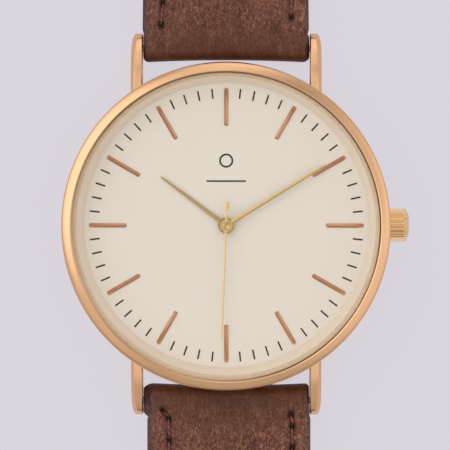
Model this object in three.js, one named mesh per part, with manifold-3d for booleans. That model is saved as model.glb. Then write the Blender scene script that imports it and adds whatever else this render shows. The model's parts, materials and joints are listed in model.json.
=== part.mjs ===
// Wristwatch: a round three-hand quartz watch on a two-piece leather strap with a pin buckle, laid open
// on its back. Millimetres. +Z leaves the dial, +Y points to 12 o'clock, +X to the crown, and the
// origin is the centre of the case back's outer face. Laid flat, everything stands on z = 0.
import * as THREE from "three";
import { mergeVertices } from "three/addons/utils/BufferGeometryUtils.js";
import Module from "manifold-3d";

const wasm = await Module();
wasm.setup();

// ---------------------------------------------------------------- driving dimensions

const RING_SEGMENTS = 40; // everything as wide as the case
const BOSS_SEGMENTS = 18; // crown, battery and bosses
const SHAFT_SEGMENTS = 12; // arbors, pins and their holes
const SLIDE_GAP = 0.05; // between faces that meet or slide

const CASE = { radius: 20, height: 7, footZ: 0.8, topZ: 5.55 };
const BORE = { wall: 16.35, seat: 18.5, seatZ: 3.5 };
const BEZEL = { inner: 18.8, lip: 18.2, brow: 18.66, footZ: 5.6, lipZ: 5.75, browZ: 6.64 };
const CRYSTAL = { radius: 18.6, thickness: 1, chamfer: 0.3 };
const BACK = { radius: 17.2, flatRadius: 15.2, thickness: 0.6 };
const BACK_RIM = { outer: 16.25, inner: 15.9, top: 1.5 };
const LUG = { inner: 10.15, outer: 11.6, tipY: 23.2 };
const BAR = { y: 21.5, z: 2.3 };
const BAR_TUBE = { bore: 0.45, radius: 0.75, half: 8.9 };
const BAR_PIN = { radius: 0.38, flange: 0.6, tipRadius: 0.4, inner: 6.6, flangeAt: 9.85, tipEnd: 10.85 };
const DIAL = { radius: 18.2, z: 3.52, thickness: 0.4, hole: 0.95 };
const INDEX = { inner: 12.15, outer: 16.74, halfWidth: 0.26, side: 0.12, ridge: 0.26 };
const MOVEMENT = { radius: 11.6, bridgeZ: 0.95, plateZ: 2.35, plateTopZ: 2.95 };
const MOVEMENT_RIM = { inner: 10.4, top: 3.45 };
const STEM = { z: 2.6, radius: 0.42, inner: 5.1, outer: 21.4 };
const TUBE = { bore: 0.5, radius: 0.7, inner: 16.5, outer: 20.65 };
const CROWN = { radius: 2, inner: 19.85, outer: 22.25, flutes: 22 };
const STRAP = { lugHalfWidth: 9.8, halfWidth: 10, endHalfWidth: 9, tunnel: 0.95 };
const STRAP_12_LENGTH = 75; // spring bar to buckle bar
const STRAP_6_LENGTH = 115; // spring bar to tip
const KEEPER = { wall: 1, innerHalfWidth: 9.75, innerTop: 5.6, outerTop: 6.6, floor: 1.05 };

// Where the hands stand, clockwise from 12.
const HOUR_ANGLE = 306.7;
const MINUTE_ANGLE = 58.4;
const SECOND_ANGLE = 182.2;

// ---------------------------------------------------------------- materials

const finish = (color, roughness, metalness, extra = {}) =>
  new THREE.MeshStandardMaterial({ color, roughness, metalness, flatShading: true, ...extra });

const roseGold = finish(0xdba471, 0.16, 1);
const roseIndex = finish(0xdda077, 0.22, 1);
const yellowGold = finish(0xc2a45c, 0.24, 1);
const steel = finish(0xbfc0c2, 0.28, 1);
const brass = finish(0xc9a65a, 0.32, 1);
const cream = finish(0xe0d7ca, 0.55, 0);
const glass = finish(0xf4f6f6, 0.03, 0, { transparent: true, opacity: 0.2 });
const leather = finish(0x6b4434, 0.6, 0);
const blackRubber = finish(0x1c1a19, 0.7, 0);
const whitePlastic = finish(0xdedcd4, 0.5, 0);
const copper = finish(0xb0653a, 0.35, 1);
const board = finish(0x2c5a3a, 0.5, 0);

// ---------------------------------------------------------------- solids from three.js geometry

// The geometry as a solid, with its shared vertices merged and its collapsed triangles dropped.
function toSolid(geometry) {
  const bare = new THREE.BufferGeometry();
  bare.setAttribute("position", geometry.getAttribute("position"));
  if (geometry.index) bare.setIndex(geometry.index);
  const merged = mergeVertices(bare, 1e-5);
  const corners = merged.index.array;
  const kept = [];
  for (let i = 0; i < corners.length; i += 3) {
    const [a, b, c] = corners.slice(i, i + 3);
    if (a !== b && b !== c && c !== a) kept.push(a, b, c);
  }
  return new wasm.Manifold(
    new wasm.Mesh({
      numProp: 3,
      vertProperties: merged.getAttribute("position").array,
      triVerts: Uint32Array.from(kept),
    }),
  );
}

function toGeometry(solid) {
  const mesh = solid.getMesh();
  return new THREE.BufferGeometry()
    .setAttribute("position", new THREE.BufferAttribute(mesh.vertProperties, 3))
    .setIndex(new THREE.BufferAttribute(mesh.triVerts, 1));
}

const join = (first, ...rest) =>
  toGeometry(rest.reduce((solid, geometry) => solid.add(toSolid(geometry)), toSolid(first)));
const cut = (first, ...tools) =>
  toGeometry(tools.reduce((solid, geometry) => solid.subtract(toSolid(geometry)), toSolid(first)));
const common = (first, second) => toGeometry(toSolid(first).intersect(toSolid(second)));

const flatPoint = ([x, y]) => new THREE.Vector2(x, y);

// A solid of revolution about Z, from a loop of [radius, z] that closes on itself or on the axis.
function revolve(loop, segments = RING_SEGMENTS) {
  const points = loop.map(flatPoint);
  const onAxis = points[0].x === 0 && points.at(-1).x === 0;
  if (!onAxis) points.push(points[0].clone());
  if (THREE.ShapeUtils.area(points) < 0) points.reverse();
  return new THREE.LatheGeometry(points, segments).rotateX(Math.PI / 2);
}

const disc = (radius, low, high, segments = RING_SEGMENTS) =>
  revolve([[0, low], [radius, low], [radius, high], [0, high]], segments);
const ring = (inner, outer, low, high, segments = RING_SEGMENTS) =>
  revolve([[inner, low], [outer, low], [outer, high], [inner, high]], segments);

// A flat outline of [x, y], or a Shape, raised from low to high along Z.
function raise(outline, low, high, curveSegments = 6) {
  const shape = Array.isArray(outline) ? new THREE.Shape(outline.map(flatPoint)) : outline;
  const options = { depth: high - low, bevelEnabled: false, curveSegments };
  return new THREE.ExtrudeGeometry(shape, options).translate(0, 0, low);
}

const AXIS_X = new THREE.Vector3(1, 0, 0);
const AXIS_Y = new THREE.Vector3(0, 1, 0);
const AXIS_Z = new THREE.Vector3(0, 0, 1);
// Stands a flat [x, y] outline up as [y, z], its depth along X.
const SIDE_ON = new THREE.Matrix4().makeBasis(AXIS_Y, AXIS_Z, AXIS_X);
function block(x0, x1, y0, y1, z0, z1) {
  const box = new THREE.BoxGeometry(x1 - x0, y1 - y0, z1 - z0);
  return box.translate((x0 + x1) / 2, (y0 + y1) / 2, (z0 + z1) / 2);
}

// A side outline of [y, z], drawn from x = low to x = high.
const drawAlongX = (outline, low, high) => raise(outline, low, high).applyMatrix4(SIDE_ON);
// A turned piece about the X axis through y = 0, z = height, from a loop of [radius, x].
const turnAboutX = (loop, height, segments) =>
  revolve(loop, segments).applyMatrix4(SIDE_ON).translate(0, 0, height);
const rodAlongX = (radius, low, high, y, z, segments = SHAFT_SEGMENTS) =>
  disc(radius, low, high, segments).applyMatrix4(SIDE_ON).translate(0, y, z);
// Turned clockwise from 12, as a hand is.
const clockwise = (geometry, degrees) => geometry.rotateZ(-THREE.MathUtils.degToRad(degrees));
const polar = (radius, degrees) => [
  radius * Math.cos(THREE.MathUtils.degToRad(degrees)),
  radius * Math.sin(THREE.MathUtils.degToRad(degrees)),
];
// Points along a smooth curve through the given ones.
const bend = (points, count) =>
  new THREE.SplineCurve(points.map(flatPoint)).getPoints(count).map((point) => [point.x, point.y]);

const watch = new THREE.Group();
function add(name, geometry, material) {
  const mesh = new THREE.Mesh(toGeometry(toSolid(geometry)), material);
  mesh.name = name;
  watch.add(mesh);
}

// ---------------------------------------------------------------- case, bezel, crystal, back

// One lug, seen from the side: rooted in the case wall, arched down to a round tip over the bar's hole.
function lugSide(towards) {
  const top = bend([[15.6, 5], [18.2, 4.8], [21, 3.9], [LUG.tipY - 0.4, 2.75]], 6);
  const tip = bend([[LUG.tipY, 2.1], [LUG.tipY - 0.15, 1.45], [LUG.tipY - 0.8, 1]], 3);
  const under = [[20.4, 0.95], [14.2, 1.5], [14.2, 3.3], [15.6, 3.6]];
  return [...top, ...tip, ...under].map(([y, z]) => [towards * y, z]);
}

function lug(sideX, sideY) {
  const [low, high] = [LUG.inner, LUG.outer].map((x) => sideX * x).sort((a, b) => a - b);
  const flank = [[LUG.outer, 13], [LUG.outer, 18.5], [11.45, 21], [11.15, 22.7], [10.8, LUG.tipY + 0.1]];
  const plan = [[LUG.inner, 13], ...flank, [LUG.inner, LUG.tipY + 0.1]];
  const outline = plan.map(([x, y]) => [sideX * x, sideY * y]);
  const body = common(drawAlongX(lugSide(sideY), low, high), raise(outline, 0, CASE.height));
  const [from, to] = [LUG.inner - 0.5, LUG.inner + 0.9].map((x) => sideX * x).sort((a, b) => a - b);
  return cut(body, rodAlongX(BAR_PIN.tipRadius + SLIDE_GAP, from, to, sideY * BAR.y, BAR.z));
}

function caseMiddle() {
  const flank = bend([[17.5, CASE.footZ], [18.3, 1.4], [18.85, 2.4], [19.5, 3.9], [19.75, CASE.topZ]], 8);
  const bore = [[BORE.seat, CASE.topZ], [BORE.seat, BORE.seatZ], [BORE.wall, BORE.seatZ]];
  const ringBody = revolve([...flank, ...bore, [BORE.wall, CASE.footZ]]);
  const lugs = [[-1, 1], [1, 1], [-1, -1], [1, -1]].map(([x, y]) => lug(x, y));
  return cut(join(ringBody, ...lugs), rodAlongX(TUBE.radius + SLIDE_GAP, 15, 21, 0, STEM.z, 16));
}

// The lip carries the crystal, and the brow holds the gasket down round it.
function bezelRing() {
  const { inner, lip, brow, footZ, lipZ, browZ } = BEZEL;
  const face = [[19.85, 6.52], [19.5, 6.78], [19.05, CASE.height - 0.02], [18.98, CASE.height]];
  const dome = [[CASE.radius, 6.15], ...face, [brow, 6.7], [brow, browZ], [inner, browZ]];
  const inside = [[inner, lipZ], [lip, lipZ], [lip, footZ]];
  return revolve([...dome, ...inside, [19.75, footZ], [CASE.radius, lipZ]]);
}

function crystalDisc() {
  const { radius, thickness, chamfer } = CRYSTAL;
  const low = BEZEL.lipZ + SLIDE_GAP;
  const high = low + thickness;
  return revolve([[0, low], [radius, low], [radius, high - chamfer], [radius - chamfer, high], [0, high]]);
}

function caseBack() {
  const { flatRadius, radius, thickness } = BACK;
  const { outer, inner, top } = BACK_RIM;
  const edge = [[flatRadius, 0], [16.6, 0.22], [radius, thickness]];
  const rim = [[outer, thickness], [outer, top], [inner, top], [inner, thickness]];
  return revolve([[0, 0], ...edge, ...rim, [0, thickness]]);
}

add("case_middle", caseMiddle(), roseGold);
add("bezel", bezelRing(), roseGold);
add("crystal", crystalDisc(), glass);
add("crystal_gasket", ring(CRYSTAL.radius + 0.02, BEZEL.inner - 0.02, 5.9, 6.6), blackRubber);
add("caseback", caseBack(), steel);
add("caseback_gasket", ring(16.45, 17, BACK.thickness + 0.02, CASE.footZ - 0.02), blackRubber);

// ---------------------------------------------------------------- dial, flange, hour markers

const DIAL_TOP = DIAL.z + DIAL.thickness;
const DIAL_FOOT_RADIUS = 11; // where the dial's two feet stand
const dialFoot = (y) => disc(0.3, 3, DIAL.z + 0.1, SHAFT_SEGMENTS).translate(0, y, 0);

function dial() {
  const plate = ring(DIAL.hole, DIAL.radius, DIAL.z, DIAL_TOP);
  return join(plate, dialFoot(DIAL_FOOT_RADIUS), dialFoot(-DIAL_FOOT_RADIUS));
}

// The sloping ring that stands on the dial's edge under the crystal.
function dialFlange() {
  const foot = DIAL_TOP + 0.02;
  return revolve([[17.35, foot], [18.35, foot], [18.35, 5.5], [18.2, 5.5]]);
}

add("dial", dial(), cream);
add("dial_flange", dialFlange(), cream);

// A roof-shaped bar lying on the dial along its own radius.
function hourIndex(hour) {
  const { halfWidth, side, ridge } = INDEX;
  const section = [[-halfWidth, 0], [halfWidth, 0], [halfWidth, side], [0, ridge], [-halfWidth, side]];
  const bar = raise(section, -INDEX.outer, -INDEX.inner).rotateX(Math.PI / 2);
  return clockwise(bar.translate(0, 0, DIAL_TOP + 0.01), hour * 30);
}
for (let hour = 1; hour <= 12; hour++) {
  add(`hour_index_${String(hour).padStart(2, "0")}`, hourIndex(hour), roseIndex);
}

// ---------------------------------------------------------------- hands

// A tapered hand from the axis to its tip, with a round boss bored for its pipe.
function hand(blade, hub) {
  const { length, base, tip, low, high } = blade;
  const outline = [[-base, 0], [base, 0], [tip, length - 0.2], [0, length], [-tip, length - 0.2]];
  const boss = disc(hub.radius, hub.low, hub.high, BOSS_SEGMENTS);
  const bore = disc(hub.bore, hub.low - 1, hub.high + 1, BOSS_SEGMENTS);
  return cut(join(raise(outline, low, high), boss), bore);
}

const HOUR_BLADE = { length: 10, base: 0.27, tip: 0.12, low: 4.32, high: 4.48 };
const HOUR_HUB = { radius: 0.97, bore: 0.73, low: 4.2, high: 4.6 };
const MINUTE_BLADE = { length: 14.1, base: 0.25, tip: 0.17, low: 4.78, high: 4.92 };
const MINUTE_HUB = { radius: 0.85, bore: 0.47, low: 4.7, high: 5 };
const SECOND_BLADE = { length: 13.9, base: 0.11, tip: 0.09, low: 5.14, high: 5.24 };
const SECOND_HUB = { radius: 0.52, bore: 0.14, low: 5.08, high: 5.4 };
const SECOND_TAIL = { start: 1.6, end: 2.95, root: 0.1, flare: 0.25 };

function secondHand() {
  const { length, base, tip, low, high } = SECOND_BLADE;
  const { start, end, root, flare } = SECOND_TAIL;
  const { radius, bore, low: hubLow, high: hubHigh } = SECOND_HUB;
  const left = [[tip, length], [-tip, length], [-base, 0], [-root, -start], [-flare, -end]];
  const outline = [[base, 0], ...left, [flare, -end], [root, -start]];
  const hub = disc(radius, hubLow, hubHigh, BOSS_SEGMENTS);
  const blindBore = disc(bore, hubLow - 1, hubHigh - 0.04, SHAFT_SEGMENTS);
  return cut(join(raise(outline, low, high), hub), blindBore);
}

add("hour_hand", clockwise(hand(HOUR_BLADE, HOUR_HUB), HOUR_ANGLE), yellowGold);
add("minute_hand", clockwise(hand(MINUTE_BLADE, MINUTE_HUB), MINUTE_ANGLE), yellowGold);
add("seconds_hand", clockwise(secondHand(), SECOND_ANGLE), yellowGold);

// ---------------------------------------------------------------- gears

// A toothed outline with one tooth centred on the angle phase. Each gap runs to a point at its root.
function toothed(teeth, module, phase) {
  const pitchRadius = (teeth * module) / 2;
  const [root, tip] = [pitchRadius - 1.3 * module, pitchRadius + 0.75 * module];
  const corners = [[-0.5, root], [-0.07, tip], [0.07, tip]];
  const outline = [];
  for (let tooth = 0; tooth < teeth; tooth++) {
    for (const [share, radius] of corners) {
      const angle = phase + ((tooth + share) * 2 * Math.PI) / teeth;
      outline.push([radius * Math.cos(angle), radius * Math.sin(angle)]);
    }
  }
  return outline;
}

const angleTo = (from, to) => Math.atan2(to[1] - from[1], to[0] - from[0]);
// A gear with a tooth on the line to its mate, and the phase its mate needs to have a gap there.
const drivePhase = (from, to) => angleTo(from, to);
const matePhase = (from, to, teeth) => angleTo(from, to) + Math.PI + Math.PI / teeth;
const gear = (teeth, module, phase, low, high) => raise(toothed(teeth, module, phase), low, high);
const arbor = (low, high) => disc(0.12, low, high, SHAFT_SEGMENTS);
const place = (geometry, [x, y]) => geometry.translate(x, y, 0);

// Going train: rotor 6 - 30 fifth 6 - 36 fourth 6 - 45 third 6 - 48 centre. The fourth wheel turns once
// a minute under the seconds hand, and the centre wheel once an hour.
const CENTRE = [0, 0];
const LEAVES = 6;
const TRAIN = { fifthTeeth: 30, fourthTeeth: 36, thirdTeeth: 45, centreTeeth: 48 };
const ROTOR_MODULE = 0.09;
const FIFTH_MODULE = 0.145;
const THIRD_MODULE = 0.12;
const THIRD_DISTANCE = (THIRD_MODULE * (LEAVES + TRAIN.thirdTeeth)) / 2;
const CENTRE_MODULE = (2 * THIRD_DISTANCE) / (LEAVES + TRAIN.centreTeeth);
const THIRD = polar(THIRD_DISTANCE, -60);
const FIFTH = polar((FIFTH_MODULE * (LEAVES + TRAIN.fourthTeeth)) / 2, 200);
const ROTOR_OFFSET = polar((ROTOR_MODULE * (LEAVES + TRAIN.fifthTeeth)) / 2, 225);
const ROTOR = [FIFTH[0] + ROTOR_OFFSET[0], FIFTH[1] + ROTOR_OFFSET[1]];

function rotor() {
  const leaves = gear(LEAVES, ROTOR_MODULE, drivePhase(ROTOR, FIFTH), 1.75, 2.1);
  return place(join(disc(0.72, 1.35, 1.8, 16), leaves, arbor(1, 2.6)), ROTOR);
}
function fifthWheel() {
  const teeth = TRAIN.fifthTeeth;
  const wheel = gear(teeth, ROTOR_MODULE, matePhase(ROTOR, FIFTH, teeth), 1.9, 2.05);
  const leaves = gear(LEAVES, FIFTH_MODULE, drivePhase(FIFTH, CENTRE), 1.25, 1.5);
  return place(join(wheel, leaves, arbor(1, 2.6)), FIFTH);
}
function fourthWheel() {
  const teeth = TRAIN.fourthTeeth;
  const wheel = gear(teeth, FIFTH_MODULE, matePhase(FIFTH, CENTRE, teeth), 1.28, 1.42);
  const leaves = gear(LEAVES, THIRD_MODULE, drivePhase(CENTRE, THIRD), 1.42, 1.85);
  return join(wheel, leaves, arbor(1, SECOND_HUB.high - 0.06));
}
function thirdWheel() {
  const teeth = TRAIN.thirdTeeth;
  const wheel = gear(teeth, THIRD_MODULE, matePhase(CENTRE, THIRD, teeth), 1.6, 1.74);
  const leaves = gear(LEAVES, CENTRE_MODULE, drivePhase(THIRD, CENTRE), 1.74, 2.3);
  return place(join(wheel, leaves, arbor(1, 2.6)), THIRD);
}
// The centre wheel's pipe runs up inside the cannon pinion, which grips it by friction.
function centreWheel() {
  const teeth = TRAIN.centreTeeth;
  const wheel = gear(teeth, CENTRE_MODULE, matePhase(THIRD, CENTRE, teeth), 2.1, 2.3);
  const pipe = disc(0.32, 2.05, 4.6, BOSS_SEGMENTS);
  return cut(join(wheel, pipe), disc(0.18, 1.9, 4.8, SHAFT_SEGMENTS));
}

add("rotor", rotor(), steel);
add("fifth_wheel", fifthWheel(), brass);
add("fourth_wheel", fourthWheel(), brass);
add("third_wheel", thirdWheel(), brass);
add("centre_wheel", centreWheel(), brass);

// Motion work: cannon pinion 8 - 24 minute wheel 8 - 32 hour wheel, so the hour hand turns once in
// twelve turns of the minute hand. The setting wheel links the minute wheel to the crown's clutch.
const MOTION = { cannonLeaves: 8, minuteTeeth: 24, minuteLeaves: 8, hourTeeth: 32, settingTeeth: 12 };
const CANNON_MODULE = 0.18;
const MINUTE_DISTANCE = (CANNON_MODULE * (MOTION.cannonLeaves + MOTION.minuteTeeth)) / 2;
const HOUR_MODULE = (2 * MINUTE_DISTANCE) / (MOTION.minuteLeaves + MOTION.hourTeeth);
const MINUTE = polar(MINUTE_DISTANCE, 45);
const SETTING_REACH = (CANNON_MODULE * (MOTION.minuteTeeth + MOTION.settingTeeth)) / 2;
const SETTING = [MINUTE[0] + Math.sqrt(SETTING_REACH ** 2 - MINUTE[1] ** 2), 0];
const MINUTE_PHASE = matePhase(CENTRE, MINUTE, MOTION.minuteTeeth);

function cannonPinion() {
  const leaves = gear(MOTION.cannonLeaves, CANNON_MODULE, drivePhase(CENTRE, MINUTE), 3, 3.15);
  const body = join(leaves, disc(0.46, 3, MINUTE_HUB.high, BOSS_SEGMENTS));
  return cut(body, disc(0.36, 2.9, 5.2, BOSS_SEGMENTS));
}
function minuteWheel() {
  const wheel = gear(MOTION.minuteTeeth, CANNON_MODULE, MINUTE_PHASE, 3.03, 3.12);
  const leaves = gear(MOTION.minuteLeaves, HOUR_MODULE, drivePhase(MINUTE, CENTRE), 3.1, 3.36);
  return place(cut(join(wheel, leaves), disc(0.28, 2.9, 3.5, SHAFT_SEGMENTS)), MINUTE);
}
function hourWheel() {
  const teeth = MOTION.hourTeeth;
  const wheel = gear(teeth, HOUR_MODULE, matePhase(MINUTE, CENTRE, teeth), 3.2, 3.34);
  const body = join(wheel, disc(0.72, 3.2, HOUR_HUB.high, BOSS_SEGMENTS));
  return cut(body, disc(0.52, 3, 5, BOSS_SEGMENTS));
}
function settingWheel() {
  const { minuteTeeth, settingTeeth } = MOTION;
  const line = angleTo(MINUTE, SETTING);
  const pitch = (2 * Math.PI) / minuteTeeth;
  // How far the minute wheel's next tooth stands past the line between the two centres.
  const lead = (((MINUTE_PHASE - line) % pitch) + pitch) % pitch;
  const phase = matePhase(MINUTE, SETTING, settingTeeth) - (lead * minuteTeeth) / settingTeeth;
  const wheel = gear(settingTeeth, CANNON_MODULE, phase, 3.03, 3.14);
  return place(cut(wheel, disc(0.28, 2.9, 3.5, SHAFT_SEGMENTS)), SETTING);
}

add("cannon_pinion", cannonPinion(), steel);
add("minute_wheel", minuteWheel(), brass);
add("hour_wheel", hourWheel(), brass);
add("setting_wheel", settingWheel(), steel);

// ---------------------------------------------------------------- movement frame and electrics

const BATTERY = { centre: polar(7.6, 125), radius: 3.4, low: 1, high: 3.1 };
const PILLARS = [[-2.44, 2.6], [4.3, 0.9], [-2.3, -5.3]]; // between the plate and the train bridge
const LEVER = { pivot: [9.15, -2.5], pin: [8.65, 0], low: 3.24, high: 3.4 };
const CLUTCH = { low: 6.1, high: 7.3, radius: 0.62, waist: 0.42, halfSquare: 0.3 };

const peg = (radius, low, high, at) => place(disc(radius, low, high, SHAFT_SEGMENTS), at);

// Round plate with a rim the dial rests on, open for the battery and for the stem.
function mainPlate() {
  const { radius, plateZ, plateTopZ } = MOVEMENT;
  const { inner, top } = MOVEMENT_RIM;
  const rim = [[radius, top], [inner, top], [inner, plateTopZ]];
  const plate = revolve([[0, plateZ], [radius, plateZ], ...rim, [0, plateTopZ]]);
  const pillars = PILLARS.map((at) => peg(0.32, 1.22, plateZ + 0.1, at));
  const posts = [MINUTE, SETTING, LEVER.pivot].map((at) => peg(0.22, 2.8, 3.38, at));
  const pivots = [THIRD, FIFTH, ROTOR].map((at) => peg(0.18, 2.2, 2.7, at));
  const feet = [DIAL_FOOT_RADIUS, -DIAL_FOOT_RADIUS].map((y) => peg(0.38, 2.9, 3.6, [0, y]));
  const batteryHole = place(disc(BATTERY.radius + 0.2, 2, 4, BOSS_SEGMENTS), BATTERY.centre);
  const stemSlot = block(4.95, 12, -0.75, 0.75, 2, 4);
  const centreHole = peg(0.5, 2, 4, CENTRE);
  return cut(join(plate, ...pillars, ...posts), batteryHole, stemSlot, centreHole, ...pivots, ...feet);
}

function trainBridge() {
  const plate = disc(5.2, MOVEMENT.bridgeZ, 1.2, 32).translate(0, -1.2, 0);
  const pivots = [CENTRE, THIRD, FIFTH, ROTOR].map((at) => peg(0.18, 0.98, 1.3, at));
  const batteryHole = place(disc(BATTERY.radius + 0.25, 0.5, 2, BOSS_SEGMENTS), BATTERY.centre);
  return cut(plate, batteryHole, ...pivots);
}

// Button cell: a wide can with a narrower cap on the dial side.
function battery() {
  const { radius, low, high } = BATTERY;
  const wall = [[radius, low], [radius, high - 0.35], [2.7, high - 0.35], [2.7, high]];
  return place(revolve([[0, low], ...wall, [0, high]], BOSS_SEGMENTS), BATTERY.centre);
}

function batteryClamp() {
  const [x, y] = BATTERY.centre;
  const arm = block(-1.2, 1.2, -5.2, 2.6, 0.73, 0.9);
  return arm.rotateZ(THREE.MathUtils.degToRad(20)).translate(x, y, 0);
}

// Winding on a flat core whose two ends stick out as tabs.
const COIL = { centre: polar(8, 225), halfLength: 2.6, radius: 0.52, z: 1.6, tab: 5 };
function coil() {
  const { centre, halfLength, radius, z, tab } = COIL;
  const winding = rodAlongX(radius, -halfLength, halfLength, 0, z, 16);
  return place(join(winding, block(-tab, tab, -0.5, 0.5, 1.3, 1.5)).rotateZ(-Math.PI / 4), centre);
}

// Thin plate from the core's tabs to the hole round the rotor.
const STATOR = { low: 1.55, high: 1.69, halfWidth: 0.55, hole: 0.95, eye: 1.3 };
function stator() {
  const { low, high, halfWidth, hole, eye } = STATOR;
  const parts = [];
  for (const side of [-1, 1]) {
    const [dx, dy] = polar(side * (COIL.tab - 0.6), -45);
    const foot = [COIL.centre[0] + dx, COIL.centre[1] + dy];
    const reach = Math.hypot(ROTOR[0] - foot[0], ROTOR[1] - foot[1]);
    const arm = block(0, reach, -halfWidth, halfWidth, low, high).rotateZ(angleTo(foot, ROTOR));
    parts.push(place(disc(0.75, low, high, 16), foot), place(arm, foot));
  }
  return cut(join(place(disc(eye, low, high, 20), ROTOR), ...parts), place(disc(hole, 1, 2, 20), ROTOR));
}

function circuitBoard() {
  const [from, to] = [-75, 75].map(THREE.MathUtils.degToRad);
  const shape = new THREE.Shape().absarc(0, 0, 11, from, to, false);
  shape.absarc(0, 0, 6.7, to, from, true);
  return raise(shape, 0.98, 1.18, 14);
}

// Plastic ring that centres the movement in the case, slotted for the stem and under the dial.
function movementRing() {
  const body = ring(MOVEMENT.radius + 0.12, BORE.wall - 0.12, BACK_RIM.top + SLIDE_GAP, MOVEMENT_RIM.top);
  return cut(body, block(10, 18, -0.6, 0.6, STEM.z - 0.6, 4));
}

function quartzCan() {
  const can = disc(0.5, -2.2, 2.2, 16).rotateX(Math.PI / 2).rotateZ(Math.PI / 4);
  return can.translate(6.2, -6.2, 1.7);
}

add("movement_ring", movementRing(), whitePlastic);
add("main_plate", mainPlate(), whitePlastic);
add("train_bridge", trainBridge(), steel);
add("battery", battery(), steel);
add("battery_clamp", batteryClamp(), steel);
add("coil", coil(), copper);
add("stator", stator(), steel);
add("circuit_board", circuitBoard(), board);
add("quartz_can", quartzCan(), steel);

// ---------------------------------------------------------------- crown and keyless work

// Round from the crown to the groove that the setting lever rides in, then square through the clutch.
function stem() {
  const { radius, inner, outer } = STEM;
  const groove = [[radius, 8.35], [0.22, 8.35], [0.22, 8.95], [radius, 8.95]];
  const loop = [[0, 8.1], [radius, 8.1], ...groove, [radius, outer], [0, outer]];
  const shaft = turnAboutX(loop, STEM.z, SHAFT_SEGMENTS);
  return join(shaft, block(inner, 8.2, -0.25, 0.25, STEM.z - 0.25, STEM.z + 0.25));
}

// Ratchet-faced sleeve that turns with the stem's square and stays put while the stem slides through.
function clutchWheel() {
  const { low, high, radius, waist, halfSquare: half } = CLUTCH;
  const groove = [[radius, low + 0.35], [waist, low + 0.4], [waist, low + 0.8], [radius, low + 0.85]];
  const body = turnAboutX([[0, low], [radius, low], ...groove, [radius, high], [0, high]], STEM.z, 16);
  return cut(body, block(5, 8, -half, half, STEM.z - half, STEM.z + half));
}

// Plate that swings about its post as its pin follows the stem's groove.
function settingLever() {
  const [pivot, pin] = [LEVER.pivot, LEVER.pin];
  const [dx, dy] = [pin[0] - pivot[0], pin[1] - pivot[1]];
  const arm = block(0, Math.hypot(dx, dy), -0.32, 0.32, LEVER.low, LEVER.high).rotateZ(Math.atan2(dy, dx));
  const plate = join(arm, disc(0.6, LEVER.low, LEVER.high, 16));
  const follower = peg(0.17, STEM.z + 0.28, LEVER.low + 0.05, [dx, dy]);
  return place(cut(join(plate, follower), disc(0.28, 3, 3.6, SHAFT_SEGMENTS)), pivot);
}

// Fluted crown, hollow where it covers the case tube, threaded on the stem's end.
function crown() {
  const { radius, inner, outer, flutes } = CROWN;
  const bevel = [[radius, outer - 0.45], [1.55, outer - 0.08], [1.2, outer]];
  const round = turnAboutX([[0, inner], [radius, inner], ...bevel, [0, outer]], STEM.z, flutes * 2);
  const corners = [[-0.25, radius + 0.02], [0.2, radius + 0.02], [0.48, radius - 0.17]];
  const outline = [];
  for (let flute = 0; flute < flutes; flute++) {
    for (const [share, reach] of corners) outline.push(polar(reach, (360 * (flute + share)) / flutes));
  }
  const fluted = common(round, drawAlongX(outline, inner, outer).translate(0, 0, STEM.z));
  const recess = rodAlongX(1.2, inner - 1, 21, 0, STEM.z, BOSS_SEGMENTS);
  return cut(fluted, recess, rodAlongX(STEM.radius + 0.01, 20, STEM.outer + 0.05, 0, STEM.z));
}

const crownRing = (inner, outer, low, high) =>
  turnAboutX([[inner, low], [outer, low], [outer, high], [inner, high]], STEM.z, 16);

add("stem", stem(), steel);
add("clutch_wheel", clutchWheel(), steel);
add("setting_lever", settingLever(), steel);
add("crown", crown(), roseGold);
add("crown_gasket", crownRing(TUBE.radius + 0.05, 1.12, 20.2, 20.55), blackRubber);
add("crown_tube", crownRing(TUBE.bore, TUBE.radius, TUBE.inner, TUBE.outer), steel);

// ---------------------------------------------------------------- spring bars

// Each bar is a tube with a spring-loaded pin in either end that seats in the lug's hole.
function barPin(side) {
  const { radius, flange, tipRadius, inner, flangeAt, tipEnd } = BAR_PIN;
  const seat = flangeAt + 0.23;
  const collar = [[radius, flangeAt], [flange, flangeAt], [flange, seat], [tipRadius, seat]];
  const tip = [[tipRadius, tipEnd - 0.15], [0.28, tipEnd], [0, tipEnd]];
  const pin = turnAboutX([[0, inner], [radius, inner], ...collar, ...tip], BAR.z, SHAFT_SEGMENTS);
  return side > 0 ? pin : pin.rotateZ(Math.PI);
}
function barTube() {
  const { bore, radius, half } = BAR_TUBE;
  return turnAboutX([[bore, -half], [radius, -half], [radius, half], [bore, half]], BAR.z, 16);
}
for (const [clock, y] of [["12", BAR.y], ["6", -BAR.y]]) {
  add(`spring_bar_${clock}`, barTube().translate(0, y, 0), steel);
  add(`spring_bar_${clock}_pin_right`, barPin(1).translate(0, y, 0), steel);
  add(`spring_bar_${clock}_pin_left`, barPin(-1).translate(0, y, 0), steel);
}

// ---------------------------------------------------------------- strap

// A strap half seen from the side. s runs out from the spring bar; the lug end is rolled round the bar.
function strapSide({ bottom, thickness, roll, rollRadius, end }) {
  const under = bend(bottom, 10);
  const over = bend(bottom.map(([s, z], i) => [s, z + thickness[i]]), 10);
  const lugEnd = [];
  for (let turn = 1; turn < 6; turn++) {
    const angle = Math.PI / 2 + (turn * Math.PI) / 6;
    lugEnd.push([roll + rollRadius * Math.cos(angle), BAR.z + rollRadius * Math.sin(angle)]);
  }
  return [...under, ...end, ...over.reverse(), ...lugEnd];
}

const BUCKLE = { y: BAR.y + STRAP_12_LENGTH, z: 2.25, reach: 9, halfWidth: 11, inner: 9.35 };
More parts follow.
